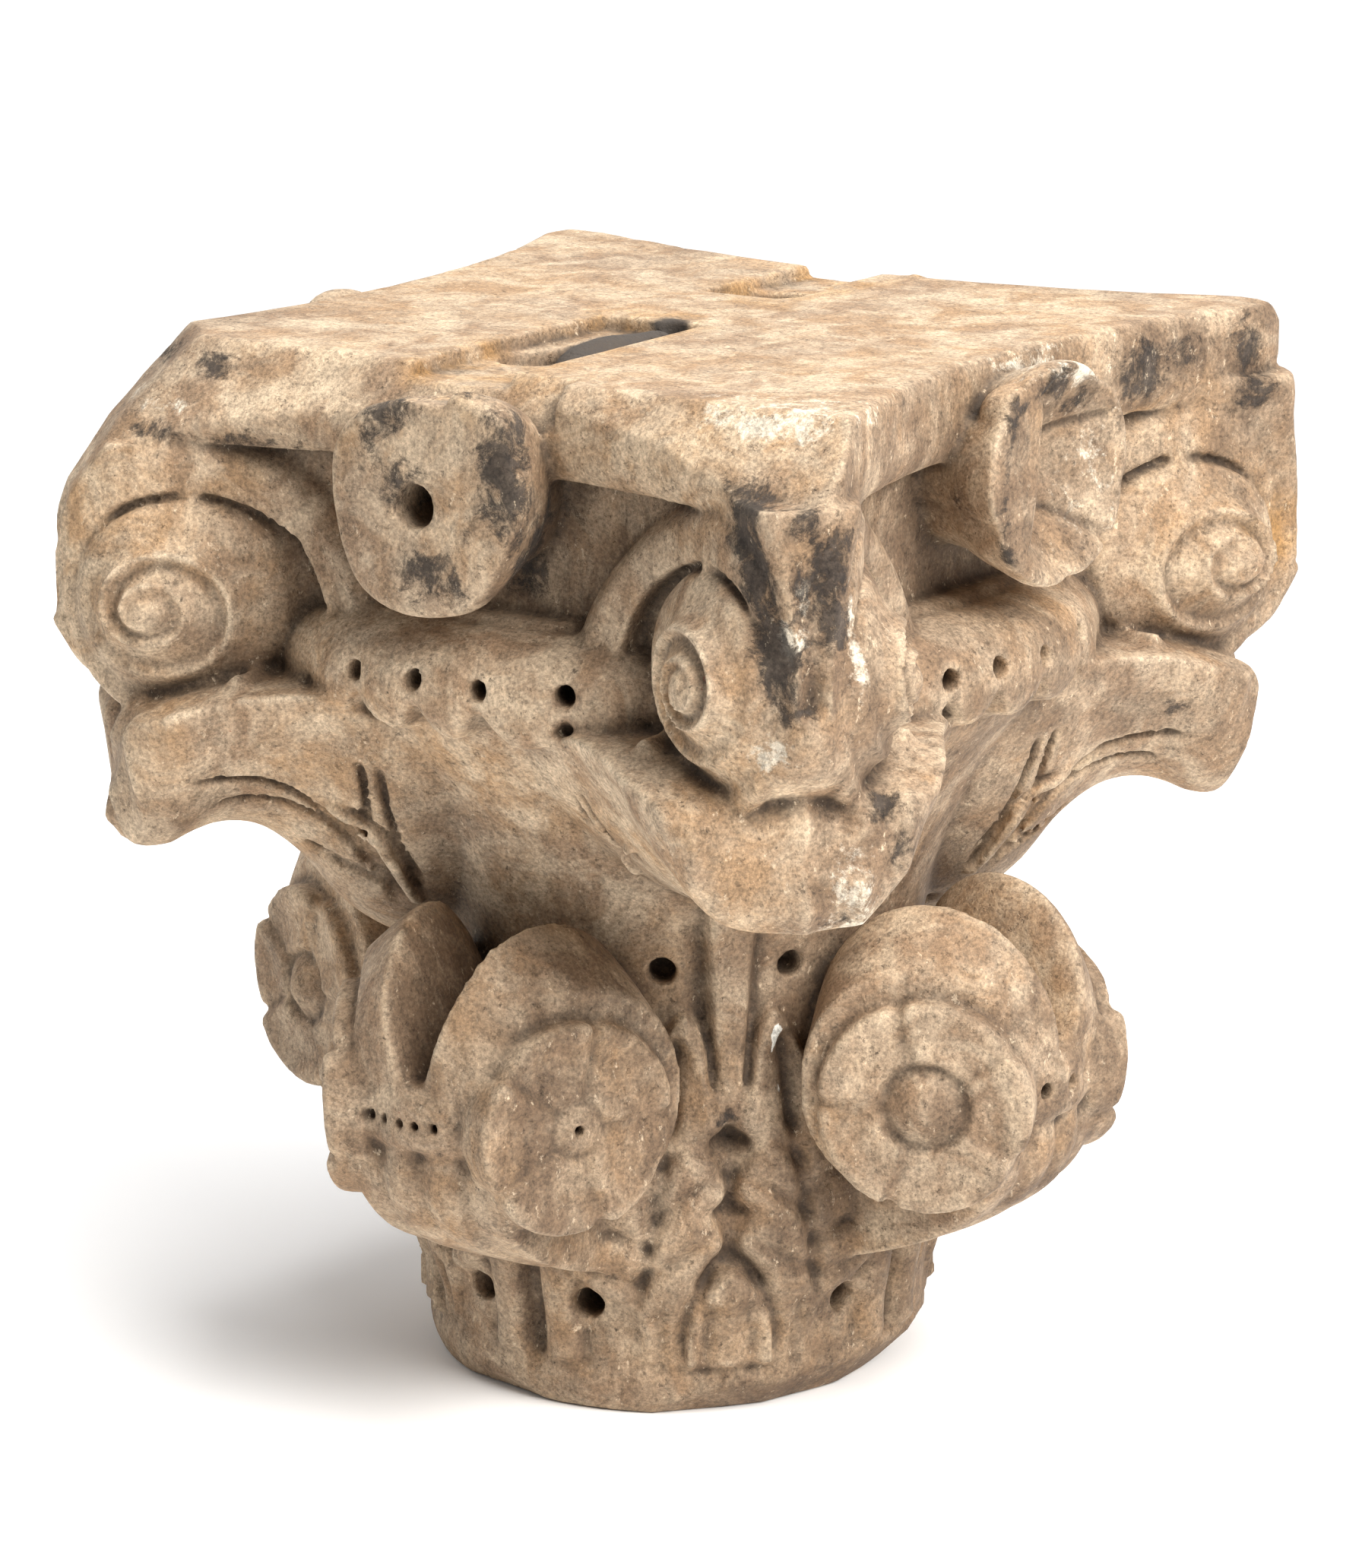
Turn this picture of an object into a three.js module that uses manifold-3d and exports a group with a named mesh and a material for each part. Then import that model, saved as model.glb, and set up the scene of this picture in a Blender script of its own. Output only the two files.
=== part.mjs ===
// Carved marble capital: a reeded neck, a bell with four leaves and eight rosette scrolls,
// a tongue moulding, eight corner volutes, four fleurons and a concave abacus, all one stone.
// Millimetres, +Z up, origin at the centre of the lower bed, one face towards each of -Y, +X, +Y, -X.
import * as THREE from "three";
import { mergeVertices } from "three/addons/utils/BufferGeometryUtils.js";
import Module from "manifold-3d";

const wasm = await Module();
wasm.setup();

// Overall sizes
const HEIGHT = 424;
const ABACUS_UNDERSIDE = 389;
const ABACUS_MIDDLE = 148;
const ABACUS_SWEEP = 30;
const ABACUS_CORNER = 176;

// Volute
const EYE_U = 126;
const EYE_Z = 324;
const SNAIL_RADIUS = 42;
const SNAIL_RISE = 25;

// Scroll bolster with its two rosette discs
const DISC_U = 54;
const DISC_N = 147;
const DISC_Z = 143;
const DISC_TILT = THREE.MathUtils.degToRad(24);

// Top bed
const CHANNEL_LEFT = -32;
const CHANNEL_RIGHT = 15;
const CHANNEL_FLOOR = HEIGHT - 7;

// Plain helpers

function mix(a, b, t) {
  return a + (b - a) * t;
}

function smooth(t) {
  const c = Math.min(1, Math.max(0, t));
  return c * c * (3 - 2 * c);
}

function between(stations, x) {
  const first = stations[0];
  const last = stations[stations.length - 1];
  if (x <= first[0]) return first.slice(1);
  if (x >= last[0]) return last.slice(1);
  const k = stations.findIndex((s) => s[0] >= x);
  const a = stations[k - 1];
  const b = stations[k];
  const t = (x - a[0]) / (b[0] - a[0]);
  return a.slice(1).map((value, i) => mix(value, b[i + 1], t));
}

// Points given on a face (u to the right, n outwards, z up) or on a corner (w, r, z)
function onFace(u, n, z) {
  return new THREE.Vector3(u, -n, z);
}

function onCorner(w, r, z) {
  const s = Math.SQRT1_2;
  return new THREE.Vector3((r + w) * s, (w - r) * s, z);
}

// A closed skin over loops of points, with a fan at each end unless the loops close on themselves
function loft(loops, ring = false) {
  const count = loops[0].length;
  const points = loops.flat();
  const index = [];
  const bands = ring ? loops.length : loops.length - 1;
  for (let i = 0; i < bands; i += 1) {
    const a = i * count;
    const b = ((i + 1) % loops.length) * count;
    for (let j = 0; j < count; j += 1) {
      const k = (j + 1) % count;
      index.push(a + j, a + k, b + k, a + j, b + k, b + j);
    }
  }
  if (!ring) {
    for (const [row, flip] of [[0, true], [loops.length - 1, false]]) {
      const centre = loops[row].reduce((sum, p) => sum.add(p), new THREE.Vector3());
      points.push(centre.divideScalar(count));
      const c = points.length - 1;
      for (let j = 0; j < count; j += 1) {
        const p = row * count + j;
        const q = row * count + (j + 1) % count;
        index.push(...(flip ? [q, p, c] : [p, q, c]));
      }
    }
  }
  return closed(new THREE.BufferGeometry().setFromPoints(points).setIndex(index));
}

function volumeOf(geometry) {
  const p = geometry.attributes.position;
  const [a, b, c] = [new THREE.Vector3(), new THREE.Vector3(), new THREE.Vector3()];
  let six = 0;
  for (let i = 0; i < geometry.index.count; i += 3) {
    a.fromBufferAttribute(p, geometry.index.getX(i));
    b.fromBufferAttribute(p, geometry.index.getX(i + 1));
    c.fromBufferAttribute(p, geometry.index.getX(i + 2));
    six += a.dot(b.cross(c));
  }
  return six / 6;
}

// A solid from a closed three.js geometry, turned the right way out
function closed(source) {
  const bare = source.index ? source.clone() : source.clone();
  bare.deleteAttribute("normal");
  bare.deleteAttribute("uv");
  const geometry = mergeVertices(bare, 1e-4);
  const index = Uint32Array.from(geometry.index.array);
  if (volumeOf(geometry) < 0) {
    for (let i = 0; i < index.length; i += 3) {
      [index[i], index[i + 1]] = [index[i + 1], index[i]];
    }
  }
  const mesh = new wasm.Mesh({
    numProp: 3,
    vertProperties: Float32Array.from(geometry.attributes.position.array),
    triVerts: index,
  });
  return new wasm.Manifold(mesh);
}

function join(solids) {
  return solids.reduce((whole, solid) => whole.add(solid));
}

// The same carving at quarter turns round the axis
function turned(make, quarters = [0, 1, 2, 3]) {
  return quarters.flatMap((k) => make(k).map((solid) => solid.rotate([0, 0, 90 * k])));
}

// Neck and bell: a turned profile with a low pad under each corner for the lower leaves
const BELL_PROFILE = [
  [0, 98], [5, 100.5], [19, 102], [23, 101], [60, 106.5], [95, 107], [140, 102], [183, 100],
  [205, 106], [230, 117], [255, 132], [272, 148], [281, 158], [300, 150], [330, 138],
];
const PAD_WIDTH = [[18, 22, 0], [26, 24, 5], [70, 30, 8], [105, 22, 9], [150, 14, 9], [205, 9, 5], [225, 8, 0]];

function bell() {
  const heights = [0, 5, 19, 26, 60, 100, 150, 183, 205, 230, 255, 281, 330];
  const steps = 48;
  const loops = heights.map((z) => {
    const [radius] = between(BELL_PROFILE, z);
    const [halfAngle, height] = between(PAD_WIDTH, z);
    return Array.from({ length: steps }, (_, j) => {
      const angle = (j / steps) * 360;
      const away = Math.abs(((angle + 360) % 90) - 45);
      const pad = height * smooth((halfAngle + 6 - away) / 10);
      const a = THREE.MathUtils.degToRad(angle);
      return new THREE.Vector3(Math.cos(a), Math.sin(a), 0).multiplyScalar(radius + pad).setZ(z);
    });
  });
  return loft(loops);
}

// Tongue moulding round the top of the bell, scalloped along its lower edge
function moulding() {
  const section = [[125, 280], [156, 280], [165, 291], [168, 305], [162, 319], [150, 325], [125, 326]];
  const steps = 48;
  const loops = Array.from({ length: steps }, (_, i) => {
    const a = (i / steps) * Math.PI * 2;
    const scallop = i % 2 === 0 ? 0 : -2.5;
    return section.map(([radius, z], k) => {
      const r = radius + (k > 0 && k < 4 ? scallop : 0);
      return new THREE.Vector3(Math.cos(a) * r, Math.sin(a) * r, z);
    });
  });
  return loft(loops, true);
}

// Concave outline shared by the abacus and the recessed block below it
function concaveOutline(middle, sweep, corner, stop) {
  const points = [];
  for (let k = 0; k < 4; k += 1) {
    const turn = (k * Math.PI) / 2;
    for (const t of [-1, -0.67, -0.33, 0, 0.33, 0.67, 1]) {
      const p = new THREE.Vector2(t * stop, -(middle + sweep * t * t));
      points.push(p.rotateAround(new THREE.Vector2(), turn));
    }
    const tip = new THREE.Vector2(corner, -corner);
    points.push(tip.rotateAround(new THREE.Vector2(), turn));
  }
  return points;
}

function slab(outline, low, high, shrink = 0) {
  const level = (z, scale) => outline.map((p) => new THREE.Vector3(p.x * scale, p.y * scale, z));
  return loft([level(low, 1 - shrink), level(high, 1)]);
}

function abacus() {
  const outline = concaveOutline(ABACUS_MIDDLE, ABACUS_SWEEP, ABACUS_CORNER, 160);
  const level = (z, scale) => outline.map((p) => new THREE.Vector3(p.x * scale, p.y * scale, z));
  const whole = loft([
    level(ABACUS_UNDERSIDE, 0.975),
    level(ABACUS_UNDERSIDE + 5, 0.995),
    level(HEIGHT - 6, 1),
    level(HEIGHT, 0.985),
  ]);
  const wornEdge = beyond([0, -146, 412], [0, -0.78, 0.62], 360, 40);
  return whole.subtract(wornEdge.intersect(block(-175, 14, -200, -100, 380, 440)));
}

function recessedBlock() {
  return slab(concaveOutline(126, 20, 142, 128), 312, ABACUS_UNDERSIDE + 3);
}

// Volute: a flat band rises off the moulding, turns over and winds round a projecting snail
function bandFront(u) {
  return 142 + 38 * smooth((u - 74) / 92);
}

const BAND = [
  // outer edge u, z, inner edge u, z
  [44, 318, 64, 314],
  [48, 330, 70, 326],
  [59, 347, 79, 340],
  [76, 364, 96, 353],
  [100, 380, 110, 361],
  [128, 388, 124, 366],
  [149, 380, 143, 362],
  [162, 361, 153, 350],
  [168, 338, 158, 335],
  [166, 314, 157, 314],
  [157, 294, 149, 299],
  [144, 283, 139, 293],
  [126, 279, 125, 290],
  [107, 284, 111, 294],
  [92, 297, 97, 303],
];

function voluteBand(side) {
  const loops = BAND.map(([ou, oz, iu, iz]) => {
    const outer = Math.max(bandFront(ou), oz < 320 && ou > 90 ? 166 : 0);
    const inner = Math.max(bandFront(iu), iz < 320 && iu > 90 ? 166 : 0);
    return [
      onFace(side * ou, outer, oz),
      onFace(side * iu, inner, iz),
      onFace(side * iu, 118, iz),
      onFace(side * ou, 118, oz),
    ];
  });
  return loft(loops);
}

function snailDepth(r, psi) {
  const u = EYE_U + r * Math.sin(psi);
  return bandFront(u) + SNAIL_RISE * Math.pow(Math.max(0, 1 - r / SNAIL_RADIUS), 0.8);
}

function snail(side) {
  const steps = 14;
  const ring = (r, depth) => Array.from({ length: steps }, (_, j) => {
    const psi = (j / steps) * Math.PI * 2;
    const n = depth === undefined ? snailDepth(r, psi) : depth;
    return onFace(side * (EYE_U + r * Math.sin(psi)), n, EYE_Z + 3 + r * Math.cos(psi));
  });
  return loft([ring(4), ring(20), ring(SNAIL_RADIUS - 3), ring(SNAIL_RADIUS, 118)]);
}

// Vertical strip that closes the corner between two volutes
const STRIP = [
  // height, half width, distance from the axis
  [276, 24, 206], [284, 20, 226], [293, 15, 241], [305, 11, 250], [320, 9, 255], [342, 9, 254],
  [362, 12, 252], [389, 18, 249], [396, 18, 248],
];

// Each corner was carved by hand and reaches a little more or less far than its neighbour,
// counted round from the corner between the -Y and +X faces
const STRIP_SHIFT = [-2, 4, 0, -4];
const LEAF_SHIFT = [-8, -6, -8, -14];

function cornerStrip(k) {
  return loft(STRIP.map(([z, half, reach]) => {
    const r = reach + STRIP_SHIFT[k];
    return [
      onCorner(-half, r - 7, z),
      onCorner(0, r, z),
      onCorner(half, r - 7, z),
      onCorner(half + 12, 180, z),
      onCorner(-half - 12, 180, z),
    ];
  }));
}

// Corner leaf: a keeled mass that swings out under the volutes and droops at its tip
const LEAF = [
  // distance from the axis, half width, underside on the rib, top, roundness
  [96, 80, 176, 262, 1.7],
  [118, 82, 180, 276, 1.8],
  [138, 79, 194, 288, 1.9],
  [155, 74, 214, 294, 2.0],
  [172, 69, 226, 294, 2.1],
  [192, 64, 231, 292, 2.3],
  [210, 58, 229, 288, 2.6],
  [225, 48, 222, 283, 2.8],
  [236, 35, 227, 276, 2.6],
  [242, 20, 240, 266, 2.4],
];

function cornerLeaf(k) {
  return loft(LEAF.map(([reach, half, low, high, power]) => {
    const r = reach + LEAF_SHIFT[k] * smooth((reach - 140) / 90);
    const loop = [];
    for (const t of [-1, -0.8, -0.5, -0.2, 0.2, 0.5, 0.8, 1]) {
      loop.push(onCorner(t * half, r, low + (high - low) * Math.abs(t) ** power));
    }
    loop.push(onCorner(0, r, high + 6));
    return loop;
  }));
}

// Bolster: two big scrolls swept out to the sides of a face and tied in the middle by a collar
function bolsterSection(s) {
  const tilt = DISC_TILT * s;
  const centreU = DISC_U * s;
  const centreN = mix(134, DISC_N, s * s);
  const end = smooth((Math.abs(s) - 0.12) / 0.75);
  const steps = 16;
  return Array.from({ length: steps }, (_, j) => {
    const a = (j / steps) * Math.PI * 2;
    const out = Math.cos(a);
    const up = Math.sin(a);
    const reachOut = mix(44, 39, end);
    const reachUp = up > 0 ? mix(40, 64, end) : mix(56, 59, end);
    const scoop = up > 0 && out > 0 ? 1 - 0.16 * (1 - end) * out * up * 2 : 1;
    const t = out * reachOut * scoop;
    const z = up * reachUp * scoop;
    return onFace(centreU - Math.sin(tilt) * t, centreN + Math.cos(tilt) * t, DISC_Z + z);
  });
}

function bolster() {
  return loft([-1, -0.72, -0.45, -0.2, 0.2, 0.45, 0.72, 1].map(bolsterSection));
}

// Rosette: a low five-petalled boss on the outer face of a scroll
function rosette(side, radius, button) {
  const steps = 10;
  const along = new THREE.Vector2(Math.sin(DISC_TILT) * -side, Math.cos(DISC_TILT));
  const facing = new THREE.Vector2(Math.cos(DISC_TILT) * side, Math.sin(DISC_TILT));
  const ring = (r, h, lobes) => Array.from({ length: steps }, (_, j) => {
    const a = (j / steps) * Math.PI * 2;
    const reach = r * (1 - lobes * (j % 2 === 0 ? 1 : 0));
    const u = side * DISC_U + along.x * reach * Math.cos(a) + facing.x * h;
    const n = DISC_N + along.y * reach * Math.cos(a) + facing.y * h;
    return onFace(u, n, DISC_Z - 7 + reach * Math.sin(a));
  });
  return loft([
    ring(radius, -6, 0.05), ring(radius - 2, 4, 0.05), ring(button + 2, 2, 0), ring(button * 0.5, 8, 0),
  ]);
}

// Collar and the three ribs that run down from it to the neck
function collar() {
  const level = (z, n) => [-24, 0, 24].map((u) => onFace(u, n - u * u * 0.006, z))
    .concat([onFace(20, 140, z), onFace(-20, 140, z)]);
  return loft([level(127, 183), level(153, 183)]);
}

function rib(u) {
  const path = [[150, 176], [112, 180], [88, 163], [66, 135], [45, 108], [24, 103]];
  return loft(path.map(([z, n], k) => {
    const half = 8.5;
    const centre = u * (k > 2 ? 1.15 : 1);
    return [
      onFace(centre - half, n - 8, z - 2),
      onFace(centre, n, z),
      onFace(centre + half, n - 8, z - 2),
      onFace(centre + half, 90, z - 2),
      onFace(centre - half, 90, z - 2),
    ];
  }));
}

// Fleuron: a lobed knob in the middle of each abacus side, on a tapered trunk
const WORN_OUTLINE = [
  [-41, 387], [-31, 412], [-6, 421], [27, 422], [39, 408], [40, 384], [26, 353], [8, 336], [-18, 342],
  [-36, 361],
];

function lobedOutline(radiusU, radiusZ) {
  return Array.from({ length: 15 }, (_, j) => {
    const a = (j / 15) * Math.PI * 2;
    const lobe = 1 - 0.05 * (j % 3 === 0 ? 1 : 0);
    return [radiusU * lobe * Math.cos(a), 379 + radiusZ * lobe * Math.sin(a)];
  });
}

function fleuron(outline, front, dish) {
  const level = (scale, n) => outline.map(([u, z]) => onFace(u * scale, n, 379 + (z - 379) * scale));
  const loops = [level(0.74, 125), level(0.96, front - 14), level(0.98, front)];
  if (dish > 0) loops.push(level(0.35, front - 3), level(0.1, front - dish));
  return loft(loops);
}

function drill(u, z, radius, front, back) {
  const cutter = new THREE.CylinderGeometry(radius, radius * 0.9, front - back, 10);
  cutter.translate(u, -(front + back) / 2, z);
  return closed(cutter);
}

// Losses and cuts
function block(x0, x1, y0, y1, z0, z1) {
  const box = new THREE.BoxGeometry(x1 - x0, y1 - y0, z1 - z0);
  box.translate((x0 + x1) / 2, (y0 + y1) / 2, (z0 + z1) / 2);
  return closed(box);
}

// Everything beyond a plane through a point, up to the given breadth and depth
function beyond(point, outward, breadth, depth) {
  const normal = new THREE.Vector3(...outward).normalize();
  const box = new THREE.BoxGeometry(breadth, breadth, depth);
  box.translate(0, 0, depth / 2);
  box.applyQuaternion(new THREE.Quaternion().setFromUnitVectors(new THREE.Vector3(0, 0, 1), normal));
  box.translate(...point);
  return closed(box);
}

function topCuts() {
  return [
    block(CHANNEL_LEFT, CHANNEL_RIGHT, -165, -1, CHANNEL_FLOOR, HEIGHT + 5),
    block(CHANNEL_LEFT, CHANNEL_RIGHT - 10, 66, 165, CHANNEL_FLOOR, HEIGHT + 5),
    block(CHANNEL_LEFT, CHANNEL_RIGHT - 6, 64, 108, HEIGHT - 26, HEIGHT + 5),
  ];
}

function losses() {
  return [
    beyond([-152, -152, 391], [-0.52, -0.52, 0.676], 190, 60),
    beyond([81, -58, 9], [0.75, -0.55, -0.62], 60, 30),
    beyond([176, -34, 380], [0.72, -0.62, 0.1], 90, 30).intersect(block(150, 200, -60, 0, 330, 440)),
  ];
}

function capital() {
  const parts = [bell(), moulding(), abacus(), recessedBlock()];
  parts.push(...turned((k) => [
    voluteBand(1), voluteBand(-1), snail(1), snail(-1), cornerStrip(k), cornerLeaf(k),
    bolster(), rosette(1, 38, 11), rosette(-1, 38, 11), collar(), rib(-17), rib(0), rib(17),
  ]));
  parts.push(...turned(() => [fleuron(WORN_OUTLINE, 178, 0)], [0]));
  parts.push(...turned(() => [fleuron(lobedOutline(41, 43), 176, 22)], [1, 2, 3]));
  const cuts = [...topCuts(), ...losses(), drill(0, 378, 8.7, 190, 150)];
  return solidThroughout(cuts.reduce((whole, cut) => whole.subtract(cut), join(parts)));
}

// The stone has no pockets inside it: only the outermost skin is kept
function solidThroughout(stone) {
  const skins = stone.decompose().map((skin) => ({ skin, volume: skin.volume() }));
  skins.sort((a, b) => b.volume - a.volume);
  return skins[0].skin;
}

function meshOf(solid, name, material) {
  const result = solid.getMesh();
  const geometry = new THREE.BufferGeometry();
  geometry.setAttribute("position", new THREE.BufferAttribute(Float32Array.from(result.vertProperties), 3));
  geometry.setIndex(Array.from(result.triVerts));
  geometry.computeVertexNormals();
  const mesh = new THREE.Mesh(geometry, material);
  mesh.name = name;
  return mesh;
}

const marble = new THREE.MeshStandardMaterial({ name: "marble", color: 0xb9a283, roughness: 0.8 });

const group = new THREE.Group();
group.name = "marble_capital";
group.add(meshOf(capital(), "capital", marble));

export default group;
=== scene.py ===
# Carved marble capital, seen as it stands now: worn, chipped, stained, and open on its upper bed.
# The stone is worked out in millimetres: every carved part is a closed skin on a grid of two
# parameters, the skins are united in one field of distances, the cuts, drill holes and losses are
# taken out of that field, and its zero surface is the stone. Faces look towards -Y, +X, +Y and -X.
import math

import bpy
import numpy as np
import openvdb
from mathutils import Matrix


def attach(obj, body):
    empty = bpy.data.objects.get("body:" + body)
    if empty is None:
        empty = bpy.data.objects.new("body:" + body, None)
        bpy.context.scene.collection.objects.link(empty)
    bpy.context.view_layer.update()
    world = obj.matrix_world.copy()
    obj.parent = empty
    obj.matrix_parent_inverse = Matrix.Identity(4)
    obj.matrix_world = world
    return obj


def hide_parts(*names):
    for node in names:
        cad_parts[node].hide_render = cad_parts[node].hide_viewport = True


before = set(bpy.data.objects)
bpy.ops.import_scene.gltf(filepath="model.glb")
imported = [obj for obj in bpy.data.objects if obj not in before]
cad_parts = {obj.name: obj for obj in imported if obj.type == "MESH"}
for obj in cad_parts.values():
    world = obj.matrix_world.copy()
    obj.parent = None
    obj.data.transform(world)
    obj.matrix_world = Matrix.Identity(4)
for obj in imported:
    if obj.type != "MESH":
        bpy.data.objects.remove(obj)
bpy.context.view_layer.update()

MM = 0.001
VOXEL = 1.5
BAND_VOXELS = 8
STONE_TRIANGLES = 192000
HEIGHT = 424.0
QUARTERS = range(4)
SIDES = (-1, 1)


# Plain helpers

def mix(a, b, t):
    """The value a share t of the way from a to b."""
    return a + (b - a) * t


def smooth(t):
    """Rises from 0 to 1 with level ends: 3t squared less 2t cubed."""
    c = np.clip(t, 0.0, 1.0)
    return c * c * (3.0 - 2.0 * c)


def along(stations, x):
    """Columns of a table of stations read at x, each a cubic through its neighbours' slopes."""
    table = np.asarray(stations, float)
    knots, values = table[:, 0], table[:, 1:]
    slopes = np.gradient(values, knots, axis=0)
    x = np.clip(np.asarray(x, float), knots[0], knots[-1])
    i = np.clip(np.searchsorted(knots, x) - 1, 0, len(knots) - 2)
    span = (knots[i + 1] - knots[i])[..., None]
    t = (x[..., None] - knots[i][..., None]) / span
    a = (1 + 2 * t) * (1 - t) ** 2 * values[i] + t * (1 - t) ** 2 * span * slopes[i]
    b = t * t * (3 - 2 * t) * values[i + 1] - t * t * (1 - t) * span * slopes[i + 1]
    return a + b


def through(points, count):
    """A smooth path of count points through a few given points, by the share of its length."""
    given = np.asarray(points, float)
    steps = np.linalg.norm(np.diff(given, axis=0), axis=1)
    share = np.concatenate([[0.0], np.cumsum(steps)]) / steps.sum()
    return along(np.column_stack([share, given]), np.linspace(0, 1, count))


def turned(points, k):
    """Points turned by k quarter turns round the axis."""
    c, s = ((1, 0), (0, 1), (-1, 0), (0, -1))[k % 4]
    x, y, z = np.moveaxis(np.asarray(points, float), -1, 0)
    return np.stack([c * x - s * y, s * x + c * y, z], -1)


def on_face(u, n, z, k=0):
    """A place on face k: u to the right, n out from the axis, z up."""
    u, n, z = np.broadcast_arrays(u, n, z)
    return turned(np.stack([u, -n, z], -1), k)


def on_corner(w, r, z, k=0):
    """A place on corner k: w across, r out from the axis along the diagonal, z up."""
    w, r, z = np.broadcast_arrays(w, r, z)
    s = math.sqrt(0.5)
    return turned(np.stack([(r + w) * s, (w - r) * s, z], -1), k)


def nearest_gap(x, y, a, b):
    """Distance of points from the nearest of the straight pieces that run from a to b."""
    px, py = x[..., None], y[..., None]
    dx, dy = b[:, 0] - a[:, 0], b[:, 1] - a[:, 1]
    t = np.clip(((px - a[:, 0]) * dx + (py - a[:, 1]) * dy) / (dx * dx + dy * dy), 0, 1)
    return np.hypot(px - a[:, 0] - t * dx, py - a[:, 1] - t * dy).min(-1)


def line_distance(x, y, path):
    """Distance of points from an open path of straight pieces."""
    path = np.asarray(path, float)
    return nearest_gap(x, y, path[:-1], path[1:])


def inside_depth(x, y, outline):
    """Distance of points from a closed outline, positive inside it by the even-odd rule."""
    a = np.asarray(outline, float)
    b = np.roll(a, -1, axis=0)
    gap = nearest_gap(x, y, a, b)
    px, py = x[..., None], y[..., None]
    run, rise = b[:, 0] - a[:, 0], b[:, 1] - a[:, 1]
    crosses = (a[:, 1] > py) != (b[:, 1] > py)
    left = px < a[:, 0] + (py - a[:, 1]) * run / np.where(rise == 0, 1e-9, rise)
    inside = (crosses & left).sum(-1) % 2 == 1
    return np.where(inside, gap, -gap)


def on_circle(degrees, r, z):
    """A place round the axis: degrees from +X, r out, z up."""
    a = math.radians(degrees)
    return (r * math.cos(a), r * math.sin(a), z)


def closed_skin(rings, joined=False):
    """Rings of points (rows, points round, 3) as a closed skin: four-sided faces between
    neighbouring rings, and a fan onto the middle of each end ring, unless the rows are joined."""
    rows, count, _ = rings.shape
    i, j = np.meshgrid(np.arange(rows if joined else rows - 1), np.arange(count), indexing="ij")
    here, there = i * count, (i + 1) % rows * count
    after = (j + 1) % count
    quads = np.stack([here + j, here + after, there + after, there + j], -1).reshape(-1, 4)
    points = rings.reshape(-1, 3)
    if joined:
        return points, quads, np.zeros((0, 3), int)
    first = np.arange(count)
    follow = (first + 1) % count
    last = (rows - 1) * count
    low = np.stack([follow, first, np.full(count, rows * count)], -1)
    high = np.stack([last + first, last + follow, np.full(count, rows * count + 1)], -1)
    points = np.concatenate([points, rings[:1].mean(1), rings[-1:].mean(1)])
    return points, quads, np.concatenate([low, high])


# Neck and bell

# height, radius
BELL_PROFILE = [
    (0, 98), (5, 100.5), (18, 102), (21, 101), (60, 104), (95, 104), (140, 101), (183, 100),
    (205, 105), (230, 116), (255, 130), (272, 142), (281, 149), (300, 148), (330, 138),
]
# Length along the neck's surface of one degree round the axis
ARC_MM = 1.83
BELL_STEP = 0.5
FILLET_TOP, REED_TOP = 20, 110
REED_HEIGHT, REED_MIDDLE, REED_HALF = 5.6, 6.9, 5.0
# Half of the lower leaf group beside a corner line: degrees from the line, height
HALF_LEAF = [
    (17, 150), (13, 163), (10, 169), (7, 163), (5, 152), (4.5, 140), (2.6, 134), (1.6, 126), (1.2, 119),
    (3.8, 117), (4.4, 113), (2.6, 105), (1.0, 98), (1.0, 91), (3.8, 87), (3.0, 82), (1.4, 76), (1.8, 70),
    (4.2, 66), (7, 58), (9.5, 48), (11.5, 36), (12.3, 21), (18.5, 21), (20, 36), (22, 47), (28, 51),
    (34, 59), (39, 70), (34, 77), (29, 86), (25, 100), (22, 120), (20, 137),
]
SMALL_LEAF = [(0, 63), (3, 60), (5.5, 54), (8, 45), (9.6, 34), (9.8, 21), (0, 21)]
# Cuts in the lower leaves: path in degrees and height, width, depth
LEAF_VEINS = [
    ([(12, 156), (12.6, 140), (13.2, 126), (14.5, 110), (16, 88), (18, 66), (20, 50)], 2.2, 4.0),
    ([(12.4, 152), (12.2, 138), (12.8, 122)], 3.4, 4.4),
    ([(9.5, 150), (8.4, 138), (8.0, 127)], 2.4, 2.6),
    ([(16, 84), (12, 92), (7, 98), (3, 101)], 2.0, 3.2),
    ([(14.6, 106), (11, 114), (8, 118)], 2.0, 3.0),
    ([(18.6, 60), (13, 66), (8, 71), (4, 77)], 2.0, 3.2),
    ([(18, 72), (23, 78), (29, 80)], 2.0, 3.0),
    ([(19, 56), (25, 60), (33, 66)], 2.0, 3.0),
    ([(17, 92), (21, 100), (24, 104)], 2.0, 2.8),
    ([(15.5, 46), (15.2, 34), (15.5, 22)], 2.0, 3.0),
    ([(4.5, 46), (5.2, 34), (5.4, 23)], 3.0, 4.2),
    ([(1.6, 42), (1.8, 30), (2.0, 22)], 1.8, 2.2),
    ([(0, 66), (0, 84), (0, 100), (0, 120)], 2.6, 4.5),
    ([(2.4, 88), (4.2, 86)], 3.0, 4.5),
    ([(2.6, 116), (4.6, 115)], 3.4, 5.0),
    ([(2.8, 68), (6.0, 59)], 3.0, 4.4),
]
STEM_HALF = [(118, 0.5), (128, 2.0), (145, 3.0), (170, 4.2), (200, 5.0), (225, 5.6)]


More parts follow.
